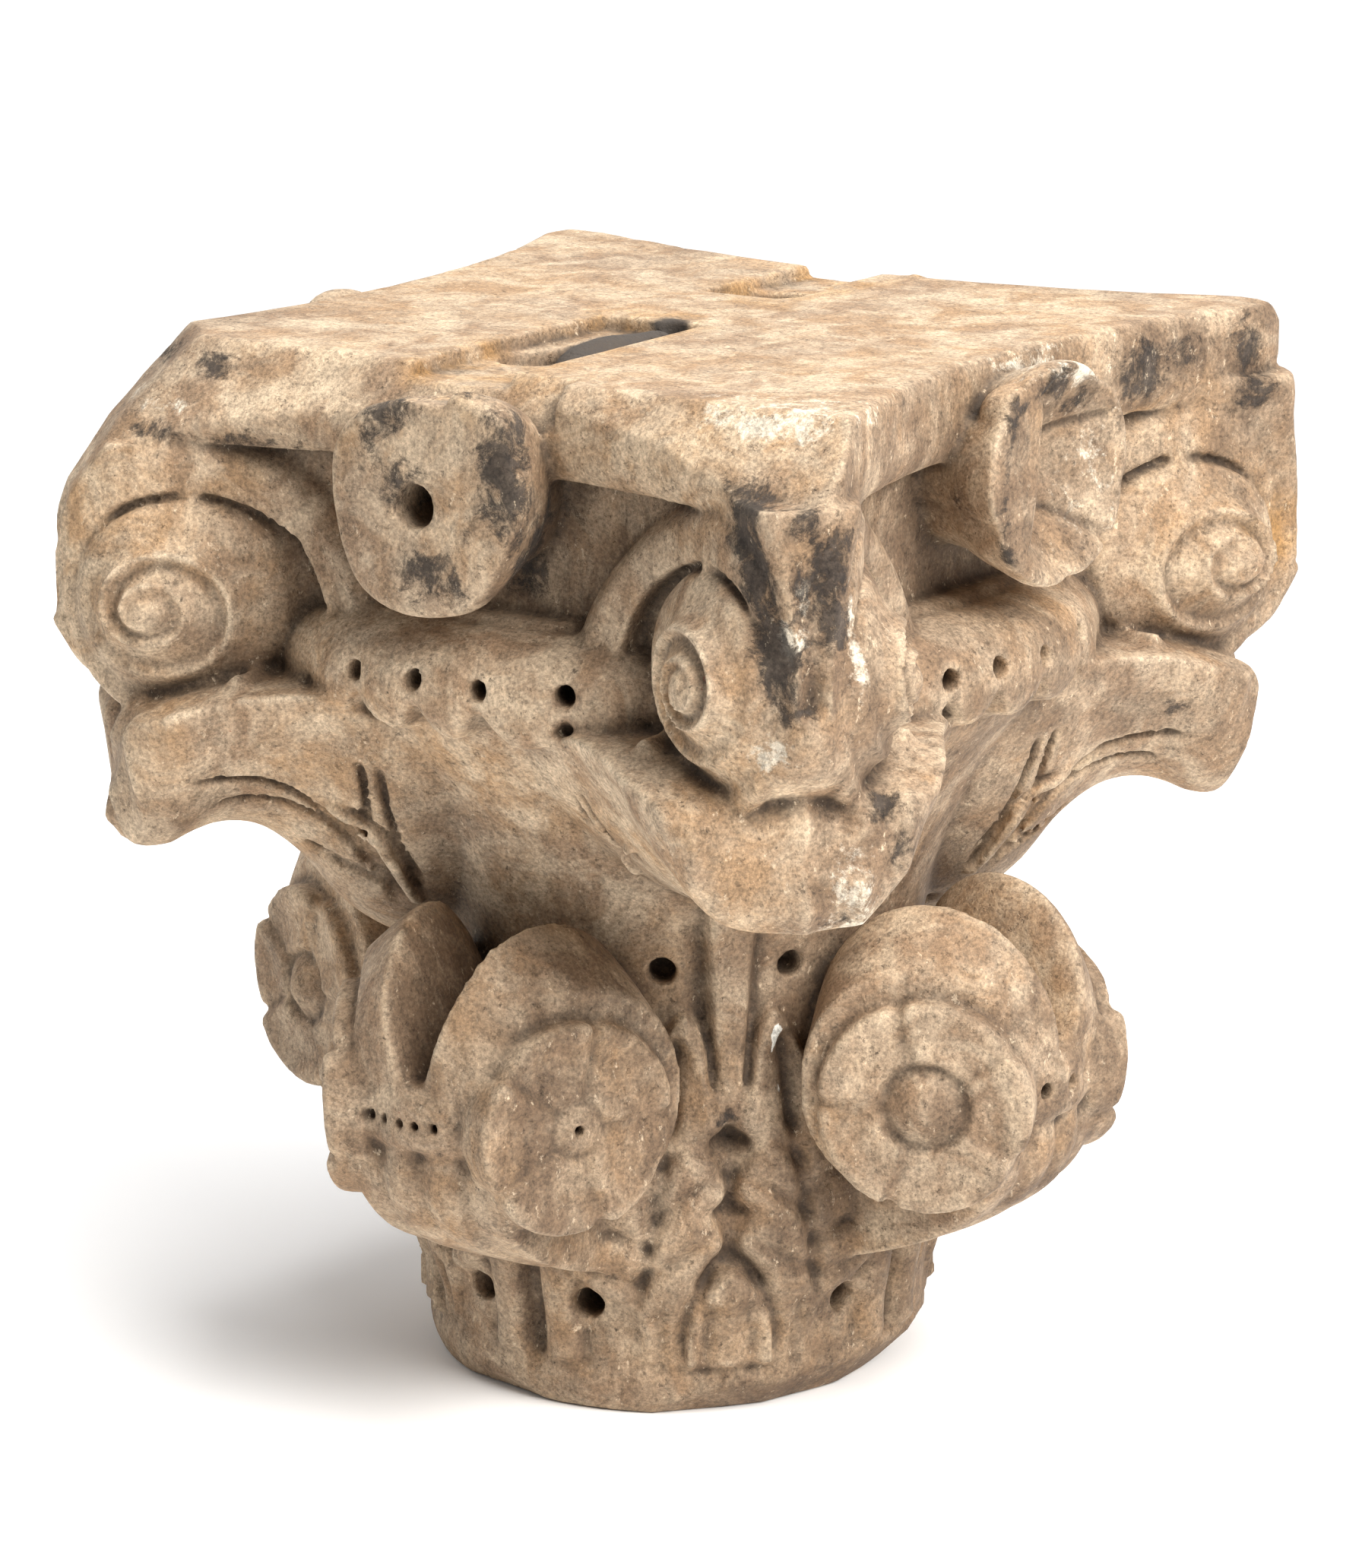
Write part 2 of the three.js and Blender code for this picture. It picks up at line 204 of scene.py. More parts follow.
def neck_relief(z, away):
    """Height of the carving over the plain neck: plateaus with bevelled edges for the leaves and
    the stem, less a V-cut along each vein, plus round reeds at the middle of each face."""
    zz, aa = np.meshgrid(z, away, indexing="ij")
    x = aa * ARC_MM
    leaf = inside_depth(x, zz, np.array(HALF_LEAF) * (ARC_MM, 1))
    rise = along([(20, 3.2), (40, 5), (70, 7), (110, 8), (150, 7), (170, 5)], zz)[..., 0]
    height = rise * smooth((leaf + 0.6) / 2.2) + 1.1 * smooth(leaf / 9)
    small = inside_depth(x, zz, np.array(SMALL_LEAF) * (ARC_MM, 1))
    height = np.maximum(height, 5.2 * smooth((small + 0.6) / 2.2))
    stem = along(STEM_HALF, zz)[..., 0] * ARC_MM
    column = 6.0 * smooth((stem - x + 1.2) / 2.6) * smooth((zz - 116) / 10)
    trough = smooth((zz - 128) / 18) * smooth((218 - zz) / 22)
    column -= 3.2 * trough * np.exp(-((x - stem - 4.5) / 3.2) ** 2)
    height = np.where(zz > 112, np.maximum(height, column), height)
    height += np.minimum(column, 0) * (leaf < 0)
    for path, width, depth in LEAF_VEINS:
        gap = line_distance(x, zz, np.array(path) * (ARC_MM, 1))
        height -= 1.25 * depth * np.clip(1 - gap / (2.1 * width), 0, 1)
    b = 45 - aa  # degrees from the middle of the face
    reed = REED_HEIGHT * np.sqrt(np.clip(1 - ((b - REED_MIDDLE) / REED_HALF) ** 2, 0, 1))
    beyond_reed = 2.0 * smooth((b - 13.2) / 0.8)
    middle = -2.4 * smooth((2.6 - b) / 0.7)
    reeds = (reed + beyond_reed + middle) * smooth((zz - FILLET_TOP) / 2.0) * (zz < REED_TOP)
    height = np.where(leaf < -0.5, height + reeds, height)
    under = 1.6 * smooth((zz - 19.6) / 1.2) * smooth((24 - zz) / 3)
    return height - under * (leaf < 0) * (small < 0)


def bell():
    """A turned profile whose radius also carries the neck carving: radius(z) + relief(angle, z)."""
    z = np.concatenate([np.arange(0, 216, 1.2), np.arange(216, 331, 3.0)])
    degrees = np.arange(0, 360, BELL_STEP)
    s = np.mod(degrees + 45, 90)
    away = np.minimum(s, 90 - s)
    wedge = np.arange(0, 45.01, BELL_STEP)
    relief = neck_relief(z, wedge)[:, np.round(away / BELL_STEP).astype(int)]
    radius = along(BELL_PROFILE, z) + relief
    angle = np.radians(degrees)
    heights = np.broadcast_to(z[:, None], radius.shape)
    return closed_skin(np.stack([radius * np.cos(angle), radius * np.sin(angle), heights], -1))


# Tongue moulding

# Drill holes at the cusps of each face, in degrees from the middle of the face
RING_HOLES = [(-14, -3.3, 6.8, 19), (-18, -8.8, 1.8, 15), (-16, -5, 6, 17), (-17, -6, 5, 16)]
# height, radius
RING_OUT = [
    (280, 158), (284, 159), (286, 161), (292, 165.5), (300, 168), (308, 168.2), (315, 165.5), (320, 161),
    (324, 154), (327, 146),
]
RING_FOOT, RING_TOP, RING_CORE = 280.5, 327, 120


def cusp_angles():
    """Where tongues meet, in degrees from +X: at every drill hole, and twice more beyond the last one
    at each end of a face."""
    found = []
    for k in QUARTERS:
        holes = RING_HOLES[k]
        more = (holes[0] - 11, holes[0] - 22, holes[-1] + 11, holes[-1] + 22)
        found += [-90 + 90 * k + h for h in holes + tuple(m for m in more if abs(m) < 40)]
    return np.array(found)


def tongue_ring():
    """A turned band, radius(z), over a thin fillet. Rounded tongues hang over the fillet: their lower
    edge rises to a sharp notch under each drill hole, and each tongue bulges between its notches by
    the square root of the angle from the nearest one."""
    z = np.concatenate([[RING_FOOT, 281.2], np.linspace(282, RING_TOP, 60)])
    degrees = np.arange(0, 360, 0.4)
    gap = np.abs((degrees[:, None] - cusp_angles()[None] + 180) % 360 - 180).min(1)[None]
    edge = 300 - 10 * np.clip(gap / 2.4, 0, 1) - 5.5 * np.sqrt(np.clip((gap - 2.4) / 3.1, 0, 1))
    zz = z[:, None]
    bulge = 3.0 * (np.sqrt(np.clip(gap / 5.5, 0, 1)) - 0.5) * smooth((308 - zz) / 12)
    outer = along(RING_OUT, z) + bulge
    under = outer - 3.5 - 6.0 * smooth((299 - zz) / 8) - 2.5 * (zz < 282)
    radius = mix(under, outer, smooth((zz - edge) / 1.2))
    a = np.radians(degrees)[None]
    skin = np.stack([radius * np.cos(a), radius * np.sin(a), zz + 0 * radius], -1)
    core = np.stack([RING_CORE * np.cos(a), RING_CORE * np.sin(a), 0 * a], -1)
    low, high = core + (0, 0, RING_FOOT), core + (0, 0, RING_TOP)
    return closed_skin(np.concatenate([low, skin, high]), joined=True)


# Abacus and the recessed block under it

def concave_outline(middle, sweep, tip, stop):
    """Four hollow sides, n = middle + sweep * t squared, with the corners cut off at the tip."""
    t = np.linspace(-1, 1, 41)
    side = np.stack([t * stop, middle + sweep * t * t], -1)
    corner = np.linspace(side[-1], (tip, tip), 5)[1:]
    back = np.linspace((tip, tip), (side[-1][1], side[-1][0]), 5)[1:-1]
    path = np.concatenate([side, corner, back])
    return np.concatenate([on_face(path[:, 0], path[:, 1], 0.0, k) for k in QUARTERS])


def slab(outline, levels):
    """The outline raised through levels of (height, scale)."""
    rings = [outline * (scale, scale, 0) + (0, 0, z) for z, scale in levels]
    return closed_skin(np.array(rings))


# Plans: middle of a side, sweep, tip of a corner, where a side stops. Levels: height, scale
ABACUS_PLAN = (148, 30, 176, 160)
ABACUS_LEVELS = [
    (387, 0.955), (389, 0.972), (392, 0.985), (396, 0.994), (404, 1.0), (414, 1.0), (419, 0.998),
    (422, 0.994), (424, 0.984),
]
BLOCK_PLAN = (126, 20, 142, 128)
BLOCK_LEVELS = [(312, 1.0), (350, 0.99), (392, 1.02)]


# Volutes

EYE_U, EYE_Z = 126.0, 327.0
# The cone: radius of its slope, radius with its moat, height
SNAIL_RADIUS, SNAIL_REACH, SNAIL_HEIGHT = 39.0, 43.5, 23
# Radius that the whorls are halved from, and height of the step between them
SPIRAL_START, SPIRAL_STEP = 45.0, 5.6
MOAT_START, MOAT_DEPTH = 37.8, 5.5
EYE_RADIUS = 5.5
# How far each eye strays from its place: face, side -> across, up
EYE_STRAY = {(0, -1): (-3, -3), (1, -1): (0, -1), (1, 1): (1, -2)}
# On the right volute of the -Y side the ribbon swings clear of the cone, over a deep hollow
CLEAR_VOLUTE, CLEAR_BY = (0, 1), 6.0
# outer edge u, z, inner edge u, z
VOLUTE_BAND = [
    (44, 318, 64, 314), (47, 330, 69, 326), (57, 348, 76, 342), (73, 367, 88, 355), (98, 384, 107, 365),
    (128, 391, 124, 368), (150, 383, 142, 363), (163, 364, 155, 351), (170, 340, 162, 335),
    (168, 314, 159, 314), (159, 294, 150, 299), (146, 281, 139, 290), (126, 276, 124, 286),
    (105, 281, 108, 290), (90, 294, 95, 300),
]


BAND_STEPS = 130
# How far out from the axis a volute is rooted, and the least that its ribbon's lower run stands out
ROOT_OUT = 118.0
LOW_RUN_OUT = 166
# Share of the ribbon's width from its outer edge, and drop by that share of the width
BAND_SECTION = [
    (0.0, 0.36), (0.12, 0.22), (0.24, 0.10), (0.36, 0.02), (0.44, 0.0), (0.55, 0.02), (0.75, 0.03),
    (0.9, 0.01), (1.0, 0.02),
]


def band_front(u):
    """How far out the volute stands: it swings forwards towards its corner."""
    return 142 + 38 * smooth((u - 74) / 92)


def volute_band(side, k):
    """A ribbon carried along its outer and inner edge lines: flat over its inner part, and bevelled
    back over its outer part by about a third of its width."""
    path = through(VOLUTE_BAND, BAND_STEPS)
    outer, inner = path[:, :2], path[:, 2:]
    share = np.linspace(0, 1, BAND_STEPS)
    low_run = smooth((share - 0.56) / 0.08)
    wide = np.linalg.norm(outer - inner, axis=1)

    def front(edge):
        return np.maximum(band_front(edge[:, 0]), LOW_RUN_OUT * low_run)

    loop = []
    for t, drop in BAND_SECTION:
        edge = mix(outer, inner, t)
        n = mix(front(outer), front(inner), t) + 1.5 - drop * wide
        loop.append(on_face(side * edge[:, 0], n, edge[:, 1], k))
    for edge in (inner, outer):
        loop.append(on_face(side * edge[:, 0], ROOT_OUT, edge[:, 1], k))
    return closed_skin(np.stack(loop, 1))


def snail(side, k):
    """A leaning cone with a spiral step: depth = front(u) + rise(rho) + rim(turn), where turn counts
    the whorls inwards from rho = 45 halved at every turn, and each whorl has a raised outer rim. A
    moat parts it from the ribbon, and a round eye stands at its middle."""
    psi = np.linspace(0, 2 * np.pi, 181)[:-1]
    share = np.concatenate([np.linspace(0.008, 0.96, 88), [1.0]])
    clear = CLEAR_BY if (k, side) == CLEAR_VOLUTE else 0.0
    outer = SNAIL_REACH - clear * np.clip(1.5 * np.cos(psi - math.radians(300)) - 0.6, 0, 1)
    rr, pp = share[:, None] * outer[None], np.broadcast_to(psi, (len(share), len(psi)))
    across, up = EYE_STRAY.get((k, side), (0, 0))
    lean = rr / SNAIL_RADIUS
    u = EYE_U + across - (3 + across) * lean + rr * np.sin(pp)
    z = EYE_Z + up - (1.5 + up) * lean + rr * np.cos(pp)
    part = np.mod(np.log2(SPIRAL_START / rr) - pp / (2 * np.pi), 1.0)
    rise = SNAIL_HEIGHT * (1 - (rr / SNAIL_RADIUS) ** 1.4)
    rim = SPIRAL_STEP * smooth(part / 0.09) * (1 - smooth((part - 0.09) / 0.27))
    rim = rim - 2.4 * np.sin(np.pi * part) ** 2
    rim = rim * smooth((rr - 3.5) / 5) * (1 - smooth((rr - 27) / 6))
    moat = -MOAT_DEPTH * smooth((rr - MOAT_START) / 1.2)
    eye = 2.4 * np.sqrt(np.clip(1 - (rr / EYE_RADIUS) ** 2, 0, 1))
    n = band_front(u) + 1.5 + rise + rim + moat + eye
    face = on_face(side * u, n, z, k)
    root = on_face(side * u[-1:], ROOT_OUT, z[-1:], k)
    return closed_skin(np.concatenate([face, root]))


# Corner strip between two volutes

# height, half width, distance from the axis, hollow between its edges
CORNER_STRIP = [
    (276, 24, 206, 0), (284, 20, 226, 0), (293, 15, 241, 0), (305, 11, 250, 0), (317, 9.5, 254, 0),
    (322, 9, 255, 1), (342, 9, 255, 1), (362, 12, 253, 1), (378, 16, 250, 0.5), (389, 19, 249, 0),
    (396, 19, 248, 0),
]
# How much further out each corner's strip and the tip of its leaf stand
STRIP_SHIFT = (-2, 4, 0, -4)
LEAF_SHIFT = (-8, -6, -8, -8)
# How much higher the lower edge of each leaf's tip now ends
TIP_RAISE = (9, 0, 0, 0)
# Height above which the underside of each leaf stays where it springs from the bell
SPRING_HEIGHT = (215, 0, 0, 0)
SPRING_OUT, SPRING_RISE = 118, 0.14


def corner_strip(k):
    """An upright strip carried up its table of widths, with rounded edges and a hollow down its
    middle."""
    z = np.linspace(CORNER_STRIP[0][0], CORNER_STRIP[-1][0], 62)
    half, reach, hollow = along(CORNER_STRIP, z).T
    reach = reach + STRIP_SHIFT[k]
    loop = []
    for t in np.linspace(-1, 1, 13):
        bow = -6 * abs(t) ** 4 - 6.0 * hollow * (1 - min(abs(t) / 0.74, 1) ** 2)
        loop.append(on_corner(t * half, reach + bow, z, k))
    loop.append(on_corner(half + 12, 180.0, z, k))
    loop.append(on_corner(-half - 12, 180.0, z, k))
    return closed_skin(np.stack(loop, 1))


# Corner leaves

# distance from the axis, half width, underside on the rib, top, roundness
CORNER_LEAF = [
    (96, 80, 176, 262, 1.7), (118, 82, 180, 276, 1.8), (138, 79, 194, 288, 1.9), (155, 74, 214, 294, 2.0),
    (172, 69, 226, 294, 2.1), (192, 65, 230, 292, 2.4), (210, 61, 227, 288, 3.0), (225, 55, 223, 284, 3.5),
    (236, 47, 225, 279, 3.6), (242, 33, 233, 270, 3.0),
]
# across, of the upright ridges down the drooping front
APRON_RIDGES = (-70, -52, -40, 3, 24, 42, 56, 72)


def corner_leaf(k):
    """A bowed mass: at each distance out, its underside is low + (high - low) * |t| to a power, and
    no lower than where it springs from the bell; its drooping front is drawn back into shallow
    hollows between upright ridges."""
    reach = np.concatenate([np.linspace(96, 222, 56), np.linspace(224, 242, 19)])
    half, low, high, power = along(CORNER_LEAF, reach).T
    shift = LEAF_SHIFT[k] * smooth((reach - 140) / 90)
    fore = smooth((reach - 196) / 34)
    springing = SPRING_HEIGHT[k] + SPRING_RISE * (reach - SPRING_OUT)
    low = np.maximum(low + TIP_RAISE[k] * smooth((reach - 190) / 30), springing)
    ridges = np.array(APRON_RIDGES, float)

    def place(w, z):
        i = np.clip(np.searchsorted(ridges, w) - 1, 0, len(ridges) - 2)
        width = ridges[i + 1] - ridges[i]
        share = np.clip((w - ridges[i]) / width, 0, 1)
        hollow = np.sin(np.pi * share) ** 0.7 * np.minimum(0.34 * width, 7.0)
        return on_corner(w, reach + shift - hollow * fore, z, k)

    loop = [place(t * half, low + (high - low) * abs(t) ** power) for t in np.linspace(-1, 1, 81)]
    loop += [place(t * half, high + 6 * (1 - abs(t))) for t in np.linspace(1, -1, 41)[1:-1]]
    return closed_skin(np.stack(loop, 1))


# Scroll bolsters, rosettes, collars and ribs

DISC_U, DISC_N, DISC_Z = 54.0, 147.0, 143.0
DISC_TILT = math.radians(24)


def bolster(k):
    """A double roll: rings round the axis from disc to disc, radius(angle, s). It grows from the
    rosette's edge to a rounded ridge, then falls to a valley as deep as the collar's top."""
    a = np.linspace(0, 2 * np.pi, 121)[:-1][None]
    s = np.linspace(-1, 1, 121)[:, None]
    out, up = np.cos(a), np.sin(a)
    high, fore = np.clip(up, 0, 1), np.clip(out, 0, 1)
    ridge_at = 0.12 + 0.38 * smooth(np.where(out > 0, up + 0.05, 1))
    inward = np.clip(np.abs(s) / ridge_at, 0, 1)
    outward = np.clip((np.abs(s) - ridge_at) / (1 - ridge_at), 0, 1)
    crest = 46 + 24 * high ** 0.8 - 3 * (1 - high) * (out < 0)
    end = 45.5 + 1.5 * high
    floor = np.minimum(10.5 / np.maximum(up, 0.02), 43)
    wall = smooth(inward * 0.93) ** 0.75 * (1 - 0.04 * inward)
    radius = mix(floor, crest * 0.985, wall)
    radius = np.where(np.abs(s) > ridge_at, mix(crest * 0.985, end, outward ** 1.25), radius)
    radius = np.where(up < 0, mix(radius, 46.0, smooth(-up * 4)), radius)
    tilt = DISC_TILT * s
    centre_n = mix(136, DISC_N - 4, s * s)
    t = out * radius * 0.93
    z = DISC_Z + up * radius
    sunk = 3.0 * np.clip(-out, 0, 1) - 5.0 * fore
    u = DISC_U * 0.95 * s + sunk * s ** 5 - np.sin(tilt) * t
    return closed_skin(on_face(u, centre_n + np.cos(tilt) * t, z, k))


def disc_place(side, t, z, h, k):
    """A place on a scroll's disc: t out from the bell, z up, h off its face."""
    u = side * (DISC_U - math.sin(DISC_TILT) * t + math.cos(DISC_TILT) * h)
    n = DISC_N + math.cos(DISC_TILT) * t + math.sin(DISC_TILT) * h
    return on_face(u, n, z, k)


# Button radius and height, pit round it, and how worn each rosette is
ROSETTES = {
    (0, 1): (9.0, 0.5, 4.5, 0.1), (0, -1): (8.0, 0.5, 3.5, 0.4), (1, -1): (15.0, 5.0, 5.5, 0.0),
    (1, 1): (12.0, 4.0, 4.0, 0.2), (2, 1): (11.0, 3.0, 3.0, 0.3), (2, -1): (12.0, 4.0, 4.0, 0.3),
    (3, 1): (13.0, 5.0, 5.0, 0.1), (3, -1): (10.0, 3.0, 3.0, 0.3),
}
ROSETTE_T, ROSETTE_Z = 3.0, 137.0
# Petal joints round a rosette, in degrees from the side of the bell
PETAL_JOINTS = (1, 78, 142, 211, 286, 361)


def rosette(side, k):
    """Five petals round a button. Each laps over the next, so height(angle) is a row of slopes with
    a sharp fall and a V-cut at each joint; the rim is drawn in and the pit sunk by the same angle."""
    button, stand, sunk, wear = ROSETTES[(k, side)]
    degrees = np.arange(0, 360, 2.5)
    share = np.concatenate([np.linspace(0.01, 0.96, 48), [0.985, 1.0, 1.0]])
    joints = np.array(PETAL_JOINTS, float) + np.array([0, 4, -5, 3, -4, 0]) * math.sin(7 * k + 3 * side)
    i = np.clip(np.searchsorted(joints, degrees + 0.01) - 1, 0, 4)
    width = joints[i + 1] - joints[i]
    within = np.clip((degrees - joints[i]) / width, 0, 1)
    joint = np.minimum(within, 1 - within) * width
    rim = 42.0 - 2.4 * np.clip(1 - joint / 7, 0, 1) ** 1.5 + 0.6 * smooth(joint / 25)
    rho = share[:, None] * rim[None]
    from_joint = np.radians(joint)[None] * rho
    lap = (3.4 - 1.4 * wear) * (0.5 - within[None]) * np.clip(rho / 20, 0, 1)
    vee = np.clip(1 - from_joint / 3.2, 0, 1) * smooth((rho - button) / 3)
    dish = 2.6 * np.sin(np.pi * np.clip((rho - 13) / 27, 0, 1)) * smooth(from_joint / 6)
    height = 4.2 + lap - (5.0 - 2.0 * wear) * vee - dish * (1 - wear)
    height = height - 1.4 * smooth((share[:, None] - 0.92) / 0.08)
    wall = smooth((button + 4.4 - rho) / 2.0)
    round_top = 0.8 if stand > 3.5 else 0.25
    inside = 4.0 - sunk + (stand + sunk) * np.clip(1 - rho / (button + 1.0), 0, 1) ** round_top
    height = mix(height, inside, wall)
    height[-1] = -14
    a = np.radians(degrees)[None]
    t = ROSETTE_T - rho * np.cos(a)
    z = ROSETTE_Z + rho * np.sin(a)
    return closed_skin(disc_place(side, t, z, height, k))


# height, how far it stands out
COLLAR_SECTION = [
    (126, -4), (127.5, -1.0), (130, 0.6), (139, 1.0), (148, 0.6), (151.5, -1.0), (153.5, -4),
]
COLLAR_HALF, COLLAR_BOW, COLLAR_BACK = 32, 0.011, 136.0


def collar(k):
    """A belt round the waist of the bolster, bowed outwards, n = 184.5 - 0.011 * u squared, with
    rounded edges."""
    u = np.linspace(-COLLAR_HALF, COLLAR_HALF, 25)
    bow = 184.5 - u * u * COLLAR_BOW
    loop = [on_face(u, bow + d, z, k) for z, d in COLLAR_SECTION]
    loop += [on_face(u, COLLAR_BACK, COLLAR_SECTION[end][0], k) for end in (-1, 0)]
    return closed_skin(np.stack(loop, 1))


# height, distance out from the axis
RIB_PATH = [(150, 172), (128, 180), (112, 181), (97, 174), (84, 160), (74, 142), (67, 124), (62, 106)]
RIB_PLACES = (-26, -9, 9, 26)
RIB_HALF, RIB_ROOT = 9.4, 88.0


def rib(u, k):
    """A rounded reed that runs down from the collar, under the bolster and onto the neck."""
    path = through(RIB_PATH, 60)
    z, n = path[:, 0], path[:, 1]
    loop = []
    for t in np.linspace(-1, 1, 15):
        sag = 5.5 * (1 - math.sqrt(1 - 0.96 * t * t))
        loop.append(on_face(u + RIB_HALF * t, n - sag - 0.006 * u * u, z - 0.4 * sag, k))
    for edge in (RIB_HALF, -RIB_HALF):
        loop.append(on_face(u + edge, RIB_ROOT, z - 2, k))
    return closed_skin(np.stack(loop, 1))


# Flower knobs

# Outline of the sheared knob of the -Y side: across, height
WORN_FLEURON = [
    (-40, 380), (-39, 397), (-30, 410), (-12, 417), (10, 422), (30, 421), (41, 415), (46, 402), (47, 384),
    (44, 368), (37, 354), (23, 340), (10, 336), (-3, 335), (-15, 337), (-27, 344), (-36, 361),
]


FUNNEL_RINGS = (0.88, 0.74, 0.6, 0.46, 0.32, 0.18, 0.05)


def lobed_outline(radius_u, radius_z, middle_u=0.0):
    """An oval with a dent between each two of its five petals."""
    a = np.linspace(0, 2 * np.pi, 97)[:-1]
    lobe = 1 - 0.075 * (1 - np.abs(np.sin(2.5 * a + 0.6))) ** 2
    return np.stack([middle_u + radius_u * lobe * np.cos(a), 379 + radius_z * lobe * np.sin(a)], -1)


def fleuron(outline, front, dish, heart, k, steep=1.7):
    """A trunk that widens to a knob. Its front is sunk to a funnel whose rings draw in towards the
    heart: height(share) falls to the dish, with a crease in line with each dent of the rim."""
    path = through(np.concatenate([outline, outline[:1]]), 97)[:-1]
    middle = (path.min(0) + path.max(0)) / 2
    size = np.linalg.norm(path - middle, axis=1)
    crease = np.clip(1 - size / np.percentile(size, 70), 0, 0.1) * 10
    levels = [
        (0.70, 122, 0), (0.76, 140, 0), (0.86, front - 28, 0), (0.95, front - 16, 0),
        (1.0, front - 9, 0), (0.99, front - 3, 0), (0.95, front, 0),
    ]
    if dish:
        levels += [(f, front - dish * (1 - f / 0.95) ** steep, 4.0) for f in FUNNEL_RINGS]
    else:
        levels += [(0.6, front + 0.6, 0), (0.1, front + 0.4, 0)]
    rings = []
    for f, n, cut in levels:
        lean = (0.95 - f) / 0.95 if n == levels[-1][1] or cut else 0.0
        flat = middle + (path - middle) * f + np.array(heart) * lean
        rings.append(on_face(flat[:, 0], n - cut * crease * (0.4 + f), flat[:, 1], k))
    return closed_skin(np.array(rings))


def all_skins():
    """Every carved part as a closed skin: what is turned about the axis, then what stands on each
    face and corner."""
    skins = [bell(), tongue_ring()]
    skins.append(slab(concave_outline(*ABACUS_PLAN), ABACUS_LEVELS))
    skins.append(slab(concave_outline(*BLOCK_PLAN), BLOCK_LEVELS))
    for k in QUARTERS:
        skins += [corner_strip(k), corner_leaf(k), bolster(k), collar(k)]
        skins += [rib(u, k) for u in RIB_PLACES]
        for side in SIDES:
            skins += [volute_band(side, k), snail(side, k), rosette(side, k)]
    skins.append(fleuron(WORN_FLEURON, 178, 0, (0, 0), 0))
    skins.append(fleuron(lobed_outline(47, 44, 6.0), 177, 33, (-9, 2), 1, 1.15))
    skins += [fleuron(lobed_outline(40, 42), 176, 34, (0, 0), k) for k in (2, 3)]
    return skins


# The field of distances: less than nothing inside the stone

def lattice_values(values, low, points):
    """What a lattice holds at any points, from the eight lattice places round each."""
    at = np.asarray(points, float) / VOXEL - low
    top = np.array(values.shape) - 2
    i = np.clip(np.floor(at).astype(int), 0, top)
    f = np.clip(at - i, 0, 1)
    total = 0
    for corner in range(8):
        step = np.array([corner >> 2 & 1, corner >> 1 & 1, corner & 1])
        weight = np.prod(np.where(step, f, 1 - f), -1)
        j = i + step
        total = total + weight * values[j[..., 0], j[..., 1], j[..., 2]]
    return total


# Points laid on the surface that strayed further than this found another part of it
LAY_STRAY = 8
LAY_STEP = 3.0


